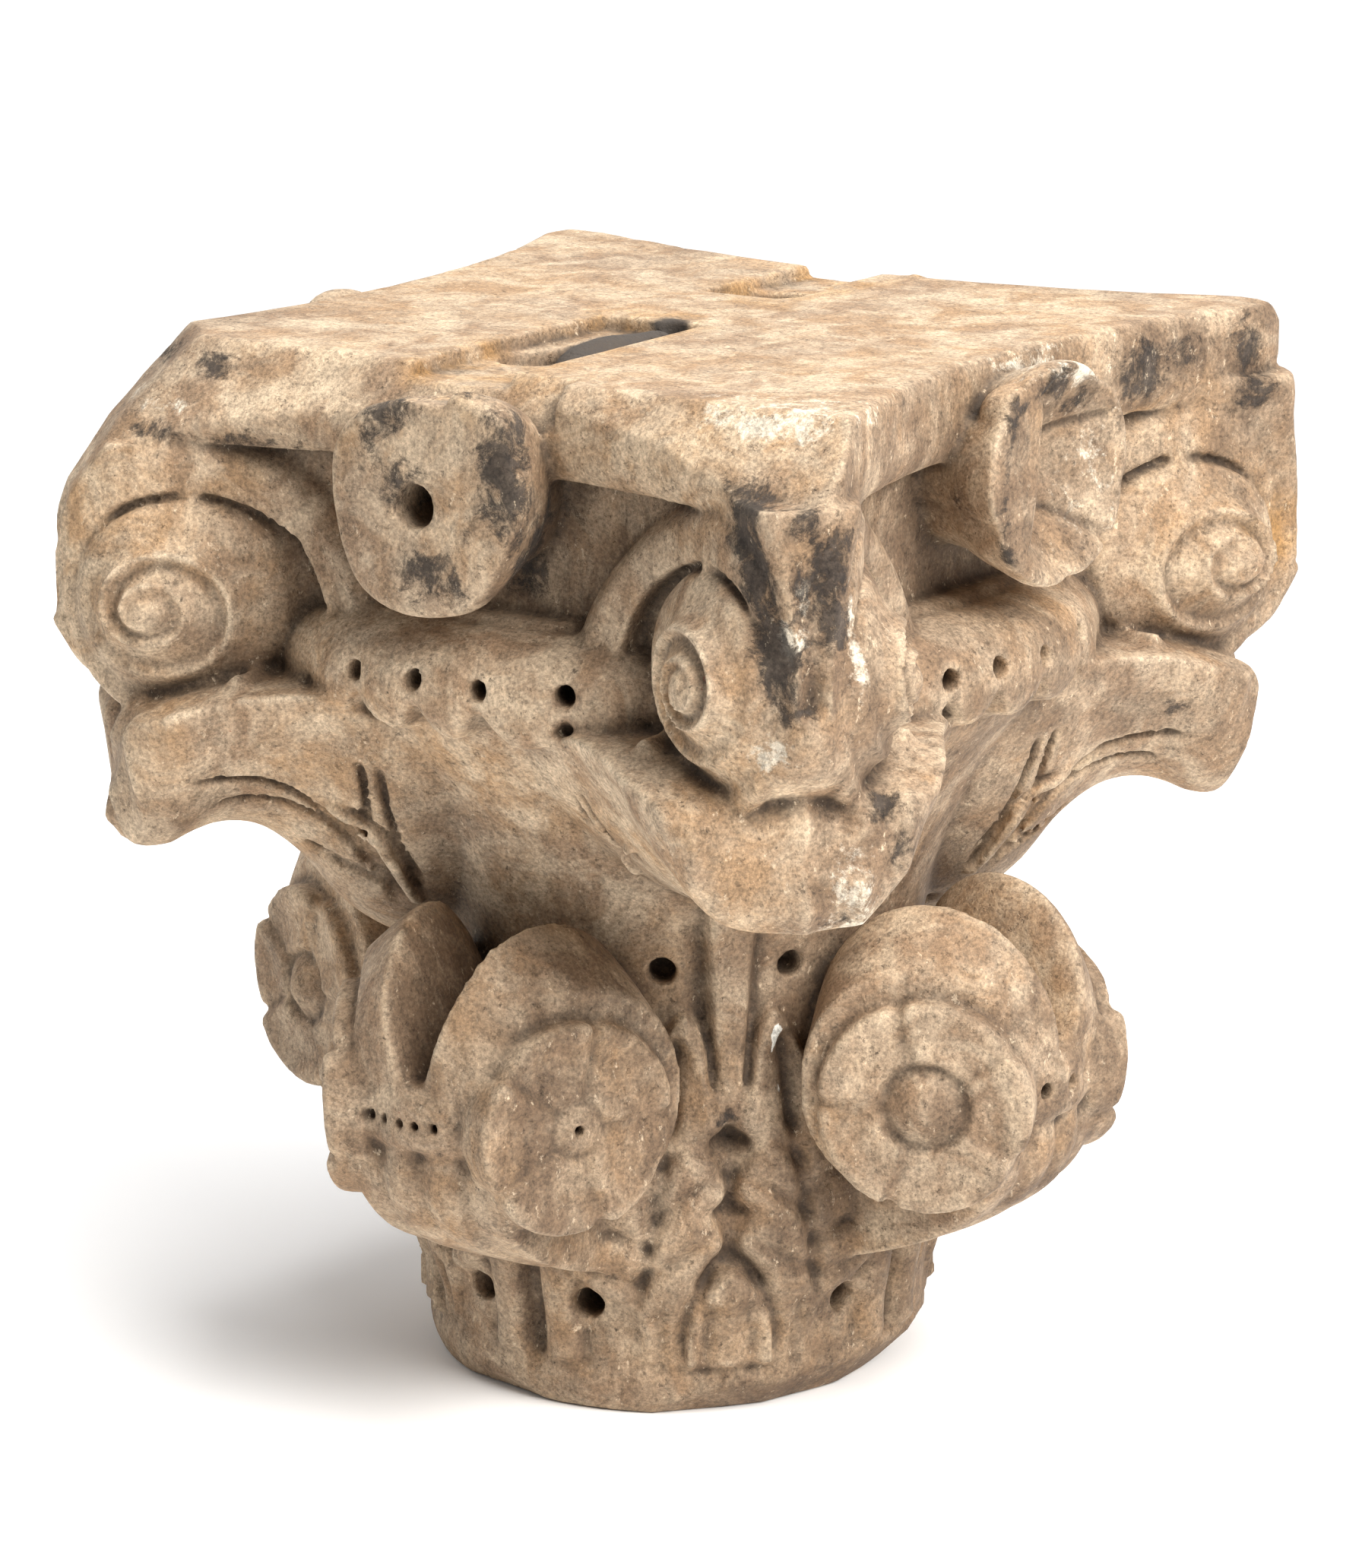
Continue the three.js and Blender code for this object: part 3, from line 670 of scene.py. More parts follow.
class Stone:
    """A block of distances on a cubic lattice, with tools that add to it and cut it."""

    def __init__(self, skins):
        points, quads, fans, start = [], [], [], 0
        for p, q, f in skins:
            points.append(p)
            quads.append(q + start)
            fans.append(f + start)
            start += len(p)
        self.transform = openvdb.createLinearTransform(voxelSize=VOXEL)
        points, fans, quads = (np.concatenate(part) for part in (points, fans, quads))
        united = self.distances(points, fans, quads, 3)
        outside = united.convertToPolygons(isovalue=0.0, adaptivity=0.0)
        grid = self.distances(*outside, BAND_VOXELS)
        low, high = grid.evalActiveVoxelBoundingBox()
        self.low = np.array(low)
        shape = np.array(high) - self.low + 1
        self.far = grid.background
        self.field = np.zeros(shape, np.float32)
        grid.copyToArray(self.field, ijk=tuple(int(v) for v in low))
        self.axes = [(np.arange(n) + l).astype(np.float32) * VOXEL for n, l in zip(shape, self.low)]

    def distances(self, points, triangles, quads, voxels):
        """A grid of distances from closed skins, taken together, out to a number of voxels."""
        return openvdb.FloatGrid.createLevelSetFromPolygons(
            np.asarray(points, np.float32),
            triangles=np.asarray(triangles, np.uint32),
            quads=np.asarray(quads, np.uint32),
            transform=self.transform,
            halfWidth=float(voxels),
        )

    def window(self, low, high):
        """The part of the lattice between two corners, and its coordinates."""
        cut, coords = [], []
        for axis, (a, lo, hi) in enumerate(zip(self.axes, low, high)):
            i0, i1 = np.searchsorted(a, [lo, hi])
            cut.append(slice(int(i0), int(max(i1, i0 + 1))))
            shape = [1, 1, 1]
            shape[axis] = -1
            coords.append(a[cut[-1]].reshape(shape))
        return tuple(cut), coords

    def capsule_distance(self, a, b, coords, ra, rb):
        """Distance to a straight stroke from a to b whose radius runs from ra to rb."""
        a, b = np.asarray(a, float), np.asarray(b, float)
        d = b - a
        offsets = [c - v for c, v in zip(coords, a)]
        t = sum(o * v for o, v in zip(offsets, d)) / max(float(d @ d), 1e-9)
        t = np.clip(t, 0, 1)
        square = sum((o - t * v) ** 2 for o, v in zip(offsets, d))
        return np.sqrt(square) - (ra + (rb - ra) * t)

    def stroke(self, a, b, ra, rb=None, add=False):
        """Cuts or adds a straight stroke with round ends."""
        rb = ra if rb is None else rb
        reach = max(ra, rb) + 3 * VOXEL
        cut, coords = self.window(np.minimum(a, b) - reach, np.maximum(a, b) + reach)
        gap = self.capsule_distance(a, b, coords, ra, rb).astype(np.float32)
        if add:
            self.field[cut] = np.minimum(self.field[cut], gap)
        else:
            self.field[cut] = np.maximum(self.field[cut], -gap)

    def read(self, points):
        return lattice_values(self.field, self.low, points)

    def slope(self, points):
        """The outward direction: the field's differences over a lattice step, made one long."""
        grad = [self.read(points + e) - self.read(points - e) for e in np.eye(3) * VOXEL]
        grad = np.stack(grad, -1)
        return grad / np.maximum(np.linalg.norm(grad, axis=-1, keepdims=True), 1e-6)

    def onto(self, points):
        """Moves points along the field's slope onto the surface, and gives the outward direction."""
        p = np.array(points, float)
        for _ in range(6):
            p -= 0.9 * self.read(p)[..., None] * self.slope(p)
        return p, self.slope(p)

    def laid_out(self, points):
        """Even places along a path: as given, moved onto the surface, and the outward direction."""
        given = np.asarray(points, float)
        length = np.linalg.norm(np.diff(given, axis=0), axis=1).sum()
        given = through(given, max(3, int(length / LAY_STEP)))
        return given, *self.onto(given)

    def engrave(self, points, radius, depth):
        """A round-bottomed cut along a path laid on the surface, tapering at its ends."""
        given, path, out = self.laid_out(points)
        count = len(path)
        far = np.linalg.norm(path - given, axis=1) > LAY_STRAY
        taper = smooth(np.minimum(np.linspace(0, 1, count), np.linspace(1, 0, count)) * 5 + 0.25)
        centre = path + out * (radius - depth * taper)[:, None]
        for a, b, off in zip(centre[:-1], centre[1:], far[:-1] | far[1:]):
            if not off and np.linalg.norm(b - a) < 3 * LAY_STEP:
                self.stroke(a, b, radius)

    def raise_bead(self, points, radius, sink):
        """A round bead along a path laid on the surface, sunk by a part of its radius."""
        _, path, out = self.laid_out(points)
        centre = path - out * sink
        for a, b in zip(centre[:-1], centre[1:]):
            if np.linalg.norm(b - a) < 3 * LAY_STEP:
                self.stroke(a, b, radius, add=True)

    def drill(self, mouth, inward, radius, depth):
        """A tapered hole from just outside the mouth."""
        mouth, inward = np.asarray(mouth, float), np.asarray(inward, float)
        inward = inward / np.linalg.norm(inward)
        self.stroke(mouth - inward * 8, mouth + inward * depth, radius * 1.03, radius * 0.82)

    def drill_to_axis(self, mouth, radius, depth, rise=0):
        """A hole that runs from its mouth towards the axis."""
        self.drill(mouth, (-mouth[0], -mouth[1], rise), radius, depth)

    def take_off(self, point, normal, low, high, waver):
        """Removes what lies beyond a rough plane, inside a box."""
        cut, coords = self.window(low, high)
        normal = np.asarray(normal, float) / np.linalg.norm(normal)
        beyond = sum((c - p) * v for c, p, v in zip(coords, point, normal))
        self.field[cut] = np.maximum(self.field[cut], beyond.astype(np.float32) + waver[cut])

    def sink(self, low, high, waver, corner=2.0):
        """A box-shaped cut with slightly wavering walls."""
        cut, coords = self.window(np.array(low) - 9, np.array(high) + 9)
        gaps = [np.abs(c - (a + b) / 2) - (b - a) / 2 + corner for c, a, b in zip(coords, low, high)]
        outside = np.sqrt(sum(np.maximum(g, 0) ** 2 for g in gaps))
        inside = np.minimum(np.maximum(np.maximum(gaps[0], gaps[1]), gaps[2]), 0)
        box = (outside + inside - corner).astype(np.float32)
        self.field[cut] = np.maximum(self.field[cut], -(box + waver[cut]))


def waver_of(shape, step, seed):
    """Smooth random values about nought, a step apart in every direction, spread over the lattice
    by cubic B-splines along one axis after another."""
    knots = [int(n * VOXEL / step) + 5 for n in shape]
    values = np.random.default_rng(seed).uniform(-1.9, 1.9, knots).astype(np.float32)
    for axis in (2, 1, 0):
        at = np.arange(shape[axis]) * VOXEL / step
        i = np.floor(at).astype(int)
        f = (at - i)[:, None, None]
        parts = [(1 - f) ** 3, 3 * f ** 3 - 6 * f ** 2 + 4, -3 * f ** 3 + 3 * f ** 2 + 3 * f + 1, f ** 3]
        rows = np.moveaxis(values, axis, 0)
        total = sum(rows[i + shift] * (part / 6).astype(np.float32) for shift, part in enumerate(parts))
        values = np.moveaxis(total, 0, axis)
    return np.ascontiguousarray(values)


def blurred(values, radius):
    """Two passes of a running mean along each axis."""
    half = max(1, int(round(radius / VOXEL)))
    size = 2 * half + 1
    for _ in range(2):
        for axis in range(3):
            pad = [(half + 1, half) if a == axis else (0, 0) for a in range(3)]
            total = np.cumsum(np.pad(values, pad, mode="edge"), axis=axis, dtype=np.float32)
            high = [slice(None)] * 3
            low = [slice(None)] * 3
            high[axis] = slice(size, None)
            low[axis] = slice(0, -size)
            values = (total[tuple(high)] - total[tuple(low)]) / size
    return values


# Cuts made by the carver

# Strokes on a leaf's flank: path of (across, out, height), radius of the tool, depth
FLANK_CUTS = [
    ([(31, 119, 200), (41, 127, 213), (46, 136, 228), (45, 150, 242), (44, 170, 254), (43, 188, 258),
      (42, 204, 258)], 3.0, 2.6),
    ([(38, 126, 212), (43, 149, 237), (39, 164, 244), (36, 178, 247), (34, 193, 246)], 2.6, 2.0),
    ([(68, 140, 267), (60, 136, 250), (51, 134, 235), (43, 125, 218)], 2.6, 2.6),
    ([(73, 134, 264), (64, 129, 246), (54, 122, 230), (43, 111, 210)], 2.4, 2.2),
    ([(24, 155, 225), (32, 145, 221), (39, 132, 215)], 2.4, 2.2),
    ([(28, 150, 219), (35, 139, 214), (41, 126, 208)], 2.2, 1.8),
]
# How many strokes, from the first, each leaf lacks: the front leaf has none along its midrib
LACKING_CUTS = (2, 0, 0, 0)
FLANK_RIB = [(37, 113, 203), (44, 120, 216), (51, 130, 234), (49, 146, 246)]
# Holes under a leaf: degrees from its corner's line, distance from the axis, height
LEAF_HOLE = (15, 112, 184)


def cut_leaves(stone):
    """Veins and a raised rib on both flanks of each corner leaf, and the drill holes under it."""
    for k in QUARTERS:
        for side in SIDES:
            for path, radius, depth in FLANK_CUTS[LACKING_CUTS[k]:]:
                w, r, z = np.array(path, float).T
                stone.engrave(on_corner(side * w, r, z, k), 0.8 * radius, depth + 1.4)
            w, r, z = np.array(FLANK_RIB, float).T
            stone.raise_bead(on_corner(side * w, r, z, k), 3.4, 0.8)
            for shift in (-5.2, 5.2):
                stone.engrave(on_corner(side * (w + 0.6 * shift), r - 0.5 * shift, z, k), 2.2, 3.0)
            degrees, r, z = LEAF_HOLE
            angle = math.radians(degrees)
            mouth = on_corner(side * r * math.sin(angle), r * math.cos(angle), z, k)
            stone.drill_to_axis(mouth, 6.5, 22)


# Holes beside the reeds of each face: degrees from its middle, height
NECK_HOLES = ((-16.5, 43), (13.5, 46))
# Drill holes across each collar: places, height, radius
COLLAR_HOLES = [
    ((-22, -14.5, -6, 1.5, 10), 138, 1.9), ((-14, 2, 16), 139, 3.7), ((-12, 0, 12), 139, 3.2),
    ((-14, -4, 6, 16), 138, 2.4),
]
DRILLED_BUTTONS = ((0, 1), (2, 1), (3, -1))


def drill_faces(stone):
    """The holes between the tongues of the ring, and those beside the reeds, which are partly under
    the edges of the lower leaves."""
    for k in QUARTERS:
        middle = -90 + 90 * k
        for n, degrees in enumerate(RING_HOLES[k]):
            stone.drill_to_axis(on_circle(middle + degrees, 167, 307.5 + 0.8 * (n % 2)), 4.5, 15, 10)
    for k in QUARTERS:
        middle = -90 + 90 * k
        for degrees, z in NECK_HOLES:
            stone.drill_to_axis(on_circle(middle + degrees, 103, z), 6.6, 20)


def drill_collars(stone):
    """A row of holes across each collar, deeper where they are wider."""
    for k in QUARTERS:
        places, z, radius = COLLAR_HOLES[k]
        for u in places:
            mouth = on_face(u, 185.3 - u * u * COLLAR_BOW, z, k)
            stone.drill(mouth, on_face(-0.02 * u, -1, 0.0, k), radius, 4.5 + 1.6 * radius)


def drill_knob_and_buttons(stone):
    """The hole in the sheared knob of the -Y side, and those in the middles of some rosettes."""
    stone.drill(on_face(0, 179, 378), on_face(0.0, -1, 0.06), 8.7, 30)
    for k, side in DRILLED_BUTTONS:
        mouth = disc_place(side, ROSETTE_T, ROSETTE_Z, 5.0, k)
        inward = disc_place(side, ROSETTE_T, ROSETTE_Z, 0.0, k) - mouth
        stone.drill(mouth, inward, 2.5, 9)


def cut_strips(stone):
    """The notch across the foot of each corner strip."""
    for k in QUARTERS:
        r = 254 + STRIP_SHIFT[k]
        path = [on_corner(w, r + 1.2 - 0.05 * w * w, 316.5, k) for w in (-10, -5, 0, 5, 10)]
        for a, b in zip(path[:-1], path[1:]):
            stone.stroke(a, b, 2.0)


# Cuts in the upper bed

CHANNEL_LEFT, CHANNEL_RIGHT = -32.0, 15.0
CHANNEL_DEPTH, SLOT_DEPTH, SOCKET_DEPTH = 6.5, 6, 24
# How far above the bed each cut starts
CLEAR_ABOVE = 12


def cut_upper_bed(stone, fine, broad):
    """The cramp channel from the -Y side, the slot from the +Y side with its socket, and the oval
    dowel hole at the channel's inner end, choked with old mortar."""
    top = HEIGHT + CLEAR_ABOVE
    floor = HEIGHT - CHANNEL_DEPTH
    stone.sink((CHANNEL_LEFT, -185, floor), (CHANNEL_RIGHT, -6, top), 0.8 * fine + 0.5 * broad)
    floor = HEIGHT - SLOT_DEPTH
    stone.sink((CHANNEL_LEFT, 66, floor), (5, 185, top), 0.9 * fine + 0.8 * broad)
    floor = HEIGHT - SOCKET_DEPTH
    stone.sink((-31, 66, floor), (8, 107, top), 1.2 * fine + 0.5 * broad, 8.0)
    for share in np.linspace(0, 1, 9):
        at = mix(np.array((-17.0, -76, 412)), np.array((2.0, -12, 414)), share)
        stone.stroke(at, at + (0, 0, 14), 13.5 - 5 * share, 15 - 5 * share)


def dowel_lean(y):
    """Share of the way along the dowel hole, which slants across its channel."""
    return (y + 40) / 76


def fill_mortar(stone, fine):
    """A rough mound of mortar in the dowel hole, leaving a gap at its outer end."""
    cut, coords = stone.window((-40, -90, 396), (24, 12, 436))
    x, y, z = coords
    lean = dowel_lean(y)
    across = (x + 6 - 12 * lean) / (11.5 - 3 * lean)
    along_hole = (y + 36) / 33
    mound = (np.sqrt(across ** 2 + along_hole ** 2 + ((z - 411) / 13.5) ** 2) - 1) * 10
    stone.field[cut] = np.minimum(stone.field[cut], mound.astype(np.float32) + 1.6 * fine[cut])


# Breaks round the lower bed: degrees, height and depth of the broken edge
FOOT_BREAKS = [
    (-66, 3, 1.6), (-104, 6, 3.0), (-40, 12, 7), (-21, 14, 10.5), (0, 14, 11), (19, 13, 10), (37, 13, 9.5),
    (58, 8, 4), (150, 6, 2.5), (205, 5, 2),
]


# Planes that take off the broken left corner, from top to foot: distance out, height, degrees from up
CORNER_BREAKS = [(199, 416, 41), (221, 395.5, 45), (239, 373, 53), (249.5, 350, 70)]
CORNER_BREAK_BOX = (-205, -205, 300), (-60, -60, 440)
# Worn upper edge over the -Y side: a place on the worn face, and the box of each stretch
WORN_EDGE_OUT = (0, -0.74, 0.67)
WORN_EDGES = [
    ((0, -144, 413), (-170, -200, 386), (-44, -118, 440)),
    ((0, -144, 413), (-44, -150, 398), (44, -118, 440)),
    ((0, -149, 418), (44, -215, 396), (215, -118, 440)),
]
# The knob of the +X side: across, out, height of its broken petal and slot, and of each crease
BROKEN_PETAL = (-20, 162, 358), (-17, 164, 404)
PETAL_SLOT = (-7, 151, 366), (-5, 149, 397)
PETAL_CREASES = [
    [(0, 158, 386), (18, 166, 394), (44, 175, 399)],
    [(0, 156, 372), (20, 166, 362), (40, 174, 348)],
    [(-4, 158, 396), (2, 168, 412), (5, 175, 421)],
]
LOWER_BED_RADIUS = 101


def take_losses(stone, fine, broad):
    """The broken corner, the worn upper edge over the -Y side, the broken knob of the +X side, and
    the knocks along the lower bed."""
    rough = 0.9 * fine + 1.6 * broad
    for r, z, lean in CORNER_BREAKS:
        steep = math.radians(lean)
        out = on_corner(0.0, math.sin(steep), math.cos(steep), 3)
        stone.take_off(on_corner(0.0, r, z, 3), out, *CORNER_BREAK_BOX, 0.6 * rough)
    for place, low, high in WORN_EDGES:
        stone.take_off(place, WORN_EDGE_OUT, low, high, rough)
    stone.stroke(*(on_face(*end, 1) for end in BROKEN_PETAL), 11.0, 13.0, add=True)
    stone.take_off((173, -10, 380), (0.99, -0.13, 0.05), (140, -70, 322), (205, -7, 440), 1.3 * rough)
    stone.stroke(*(on_face(*end, 1) for end in PETAL_SLOT), 4.2)
    for crease in PETAL_CREASES:
        stone.engrave(on_face(*np.array(crease, float).T, 1), 3.0, 2.8)
    for degrees, z, deep in FOOT_BREAKS:
        out = on_circle(degrees, 0.74, -0.67)
        edge = on_circle(degrees, LOWER_BED_RADIUS - deep, z - deep)
        stone.take_off(edge, out, (-120, -120, -6), (120, 120, 34), rough)


def weather(stone, fine, broad, grain):
    """Rubs down whatever stands proud of its own blurred shape, more in some places than others,
    nibbles the sharpest edges, and gives every face the unevenness of handwork."""
    proud = np.clip(blurred(stone.field, 2.0) - stone.field, 0, 2)
    stone.field += proud * (0.30 + 0.30 * broad)
    nibble = np.clip(grain - 0.5, 0, 1) * np.clip(proud * 2.5, 0, 1)
    stone.field += 1.8 * nibble
    stone.field += 0.30 * broad + 0.20 * fine + 0.08 * grain


def stone_mesh(stone):
    """The zero surface of the field as points and faces."""
    np.maximum(stone.field, -stone.axes[2], out=stone.field)
    grid = openvdb.FloatGrid(stone.far)
    grid.copyFromArray(stone.field, ijk=tuple(int(v) for v in stone.low))
    grid.transform = stone.transform
    grid.gridClass = openvdb.GridClass.LEVEL_SET
    points, triangles, quads = grid.convertToPolygons(isovalue=0.0, adaptivity=0.0)
    return largest_body(points, quads)


def largest_body(points, quads):
    """Keeps the faces that hang together with the most others, so no crumb or bubble is left."""
    label = np.arange(len(points))
    while True:
        held = label[quads]
        lowest = held.min(1)
        if (held == lowest[:, None]).all():
            break
        for corner in range(4):
            np.minimum.at(label, held[:, corner], lowest)
        while (label[label] != label).any():
            label = label[label]
    kept = label == np.bincount(label).argmax()
    new = np.cumsum(kept) - 1
    return points[kept], new[quads[kept[quads[:, 0]]]]


def carve():
    """The whole order of work, from the carved skins to the worn stone."""
    stone = Stone(all_skins())
    shape = stone.field.shape
    broad = waver_of(shape, 46.0, 11)
    fine = waver_of(shape, 13.0, 12)
    grain = waver_of(shape, 5.2, 13)
    cut_leaves(stone)
    cut_strips(stone)
    drill_faces(stone)
    drill_collars(stone)
    drill_knob_and_buttons(stone)
    cut_upper_bed(stone, fine, broad)
    take_losses(stone, fine, broad)
    weather(stone, fine, broad, grain)
    fill_mortar(stone, fine)
    return stone


# The one piece

# Distances over which a place counts as a fine crevice or a deep hollow
SHELTER_RADII = (3.0, 14.0)


def occupancy(stone, radius):
    """The share of stone within a radius: a half on a flat face, more in a hollow, less on an edge."""
    return blurred(np.clip(0.5 - stone.field / (2 * VOXEL), 0, 1), radius)


def spots(points, places):
    """Soft round patches: for each (x, y, z, size across, size up, strength), strength times a bell
    curve of the distance; the strongest wins."""
    level = np.zeros(len(points))
    for x, y, z, across, up, strength in places:
        gap = (points - (x, y, z)) / (across, across, up)
        level = np.maximum(level, strength * np.exp(-0.7 * (gap * gap).sum(1)))
    return level


def in_stretch(value, low, high, edge):
    """1 between low and high, fading to 0 over an edge inside each."""
    return smooth((value - low) / edge) * smooth((high - value) / edge)


# Stains: x, y, z, size across, size up, strength
SOOT_SPOTS = [
    (147, -176, 388, 15, 19, 1), (142, -172, 399, 14, 9, 0.9), (158, -178, 402, 16, 8, 0.7),
    (154, -178, 368, 12, 16, 1), (160, -179, 352, 11, 14, 1), (167, -180, 338, 12, 14, 1),
    (170, -180, 324, 12, 9, 0.8), (178, -168, 372, 11, 19, 1), (178, -166, 350, 11, 15, 0.95),
    (172, -174, 392, 11, 12, 0.7), (172, -178, 360, 10, 24, 0.75), (39, -176, 390, 15, 24, 1),
    (26, -152, 366, 24, 26, 1), (12, -134, 346, 20, 14, 0.9), (37, -170, 412, 13, 9, 0.8),
    (8, -168, 422, 30, 6, 0.7), (-8, -178, 412, 34, 12, 0.72), (-12, -178, 384, 34, 26, 0.6),
    (6, -178, 352, 26, 18, 0.72), (-52, -150, 356, 14, 24, 0.6), (175, 4, 411, 16, 12, 0.95),
    (176, 24, 404, 15, 11, 0.85), (173, -26, 408, 9, 10, 1), (175, -32, 393, 8, 15, 1),
    (175, -33, 372, 7, 18, 0.85), (172, -33, 352, 8, 12, 0.8), (150, -38, 356, 16, 26, 0.8),
    (160, 92, 405, 16, 13, 1), (164, 114, 411, 20, 8, 0.95), (175, 150, 408, 10, 14, 1),
    (178, 150, 391, 9, 11, 0.95), (181, -137, 282, 8, 11, 1), (184, -131, 268, 8, 11, 1),
    (186, -128, 300, 7, 12, 0.8), (166, -165, 252, 7, 6, 0.75), (172, -150, 238, 8, 7, 0.75),
    (-150, -121, 414, 20, 7, 0.85), (-118, -143, 414, 24, 7, 0.85), (172, 100, 270, 12, 6, 0.7),
    (-134, -160, 390, 24, 7, 0.75), (-95, -150, 389, 30, 6, 0.8), (-130, -150, 384, 40, 8, 0.6),
    (76, -79, 126, 7, 7, 0.8), (80, -80, 101, 6, 8, 0.8), (80, -80, 84, 6, 9, 0.8),
]
RED_SPOTS = [
    (-99, -174, 276, 4, 3, 1), (-91, -170, 278, 5, 3, 0.9), (-83, -166, 278, 4, 3, 0.8),
    (151, -180, 268, 5, 3, 1), (118, -181, 325, 3, 3, 0.8), (139, -188, 332, 7, 4, 0.8),
    (4, -171, 158, 5, 4, 1), (-5, -182, 141, 5, 4, 0.7), (6, -182, 140, 4, 4, 0.7),
    (114, -182, 271, 7, 3, 0.8),
]
BARE_SPOTS = [
    (168, -179, 347, 6, 7, 1), (174, -178, 364, 4, 12, 0.9), (184, -158, 352, 5, 24, 1),
    (158, -179, 303, 8, 6, 0.9), (165, -178, 307, 7, 6, 0.9), (175, 30, 372, 20, 24, 0.55),
    (140, -150, 420, 40, 8, 0.8), (166, 20, 419, 30, 7, 0.8), (180, -150, 245, 16, 22, 0.7),
    (176, 60, 400, 40, 14, 0.5), (178, -110, 392, 12, 26, 0.7), (184, -140, 232, 30, 9, 0.7),
    (-150, -150, 400, 30, 10, 0.5), (60, -150, 40, 30, 14, 0.3),
]
# Ochre stains on the far volute and on the left of the -Y side
OCHRE_SPOTS = [(183, 168, 330, 15, 18, 1), (187, 137, 342, 9, 9, 0.8), (-100, -168, 372, 20, 8, 0.5)]
# A pale run down the lower leaf beside the front corner: x, y, z
DRIP = ((88, -61, 160), (89, -61, 146), (90, -60, 134), (92, -59, 127))
DRIP_WIDTH = 5.0


def path_distance(points, path):
    """Distance of points in space from an open path of straight pieces."""
    gaps = []
    for a, b in zip(path[:-1], path[1:]):
        a, b = np.array(a, float), np.array(b, float)
        t = np.clip((points - a) @ (b - a) / ((b - a) @ (b - a)), 0, 1)[:, None]
        gaps.append(np.linalg.norm(points - a - t * (b - a), axis=1))
    return np.min(gaps, 0)


def stain_and_painted_shade_masks(points, normals):
    """Where the finish changes, as one value from 0 to 1 for each point and each kind of stain, and for the
    painted shade on the faces turned from the key light and low down.
    """
    x, y, z = points.T
    soot = spots(points, SOOT_SPOTS)
    oval = np.hypot((x + 6 - 12 * dowel_lean(y)) / 14, (y + 36) / 36)
    mortar = smooth((1.12 - oval) / 0.14) * smooth((z - 399) / 2)
    upper = smooth((z - 415) / 3)
    walls = in_stretch(x, -42, 28, 12) * upper * (1 - in_stretch(y, 6, 52, 14))
    angle = np.degrees(np.arctan2(y, x))
    # Painted shade: faces turned away from the key light on the right get a darker film.
    lit_side = 0.83 * normals[:, 0] + 0.55 * normals[:, 1]
    painted_shade_side = smooth((0.45 - lit_side) / 1.2) * (1 - smooth((normals[:, 2] - 0.6) / 0.3))
    # Painted shade: the stone is darkened towards the bottom, where less light falls from overhead.
    lower = smooth((225 - z) / 90)
    return {
        # Real soot, with painted shade over the faces turned from the key light and low down.
        "soot_and_painted_shade": np.clip(0.08 + 0.80 * painted_shade_side + 0.34 * lower + 0.45 * soot, 0, 1),
        "soot": soot,
        "mortar": mortar,
        "ochre": np.maximum(0.8 * walls, spots(points, OCHRE_SPOTS)),
        "bed": smooth((normals[:, 2] - 0.8) / 0.15) * upper,
        "red": spots(points, RED_SPOTS),
        "bare": spots(points, BARE_SPOTS),
        "drip": np.exp(-(path_distance(points, DRIP) / DRIP_WIDTH) ** 2),
        "broken": smooth((20 - z) / 6) * in_stretch(angle, -52, 62, 12),
    }


def make_piece(name, points, quads):
    """An object of four-sided faces."""
    mesh = bpy.data.meshes.new(name)
    mesh.vertices.add(len(points))
    mesh.vertices.foreach_set("co", np.asarray(points, np.float32).ravel())
    mesh.loops.add(quads.size)
    mesh.loops.foreach_set("vertex_index", quads.astype(np.int32).ravel())
    mesh.polygons.add(len(quads))
    mesh.polygons.foreach_set("loop_start", np.arange(0, quads.size, 4, dtype=np.int32))
    mesh.update(calc_edges=True)
    piece = bpy.data.objects.new(name, mesh)
    bpy.context.scene.collection.objects.link(piece)
    return piece


def thin_out(piece, triangles):
    """Draws the faces down to a number of triangles, keeping the most in the finest carving."""
    thin = piece.modifiers.new("thin", "DECIMATE")
    thin.ratio = min(1.0, triangles / (2 * len(piece.data.polygons)))
    graph = bpy.context.evaluated_depsgraph_get()
    finished = bpy.data.meshes.new_from_object(piece.evaluated_get(graph))
    piece.modifiers.clear()
    piece.data = finished


def set_values(mesh, name, values):
    """Keeps one value for each point of a mesh under a name."""
    mesh.attributes.new(name, "FLOAT", "POINT").data.foreach_set("value", values.astype(np.float32))


def carved_stone():
    """The stone, with the values that its finish reads: how hollow, sheltered or proud each place is, from
    the share of stone round it, which the finish uses for dirt and painted shade in the hollows, and where
    each stain and the painted shade on the far side and low down lie."""
    stone = carve()
    points, quads = stone_mesh(stone)
    piece = make_piece("carved_stone", points * MM, quads)
    thin_out(piece, STONE_TRIANGLES)
    mesh = piece.data
    mesh.name = "carved_stone"
    co = np.empty(len(mesh.vertices) * 3, np.float32)
    mesh.vertices.foreach_get("co", co)
    at = co.reshape(-1, 3).astype(float) / MM
    normals = np.empty(len(mesh.vertices) * 3, np.float32)
    mesh.vertices.foreach_get("normal", normals)
    normals = normals.reshape(-1, 3)
    close, wide = (lattice_values(occupancy(stone, r), stone.low, at) for r in SHELTER_RADII)
    # The hollow and deep values darken the hollows in the finish: dirt there, and painted shade.
    set_values(mesh, "hollow", smooth((close - 0.50) / 0.20))
    set_values(mesh, "deep", smooth((wide - 0.50) / 0.28))
    set_values(mesh, "edge", smooth((0.46 - close) / 0.20))
    for name, values in stain_and_painted_shade_masks(at, normals).items():
        set_values(mesh, name, values)
    mesh.shade_smooth()
    return piece


# Finish

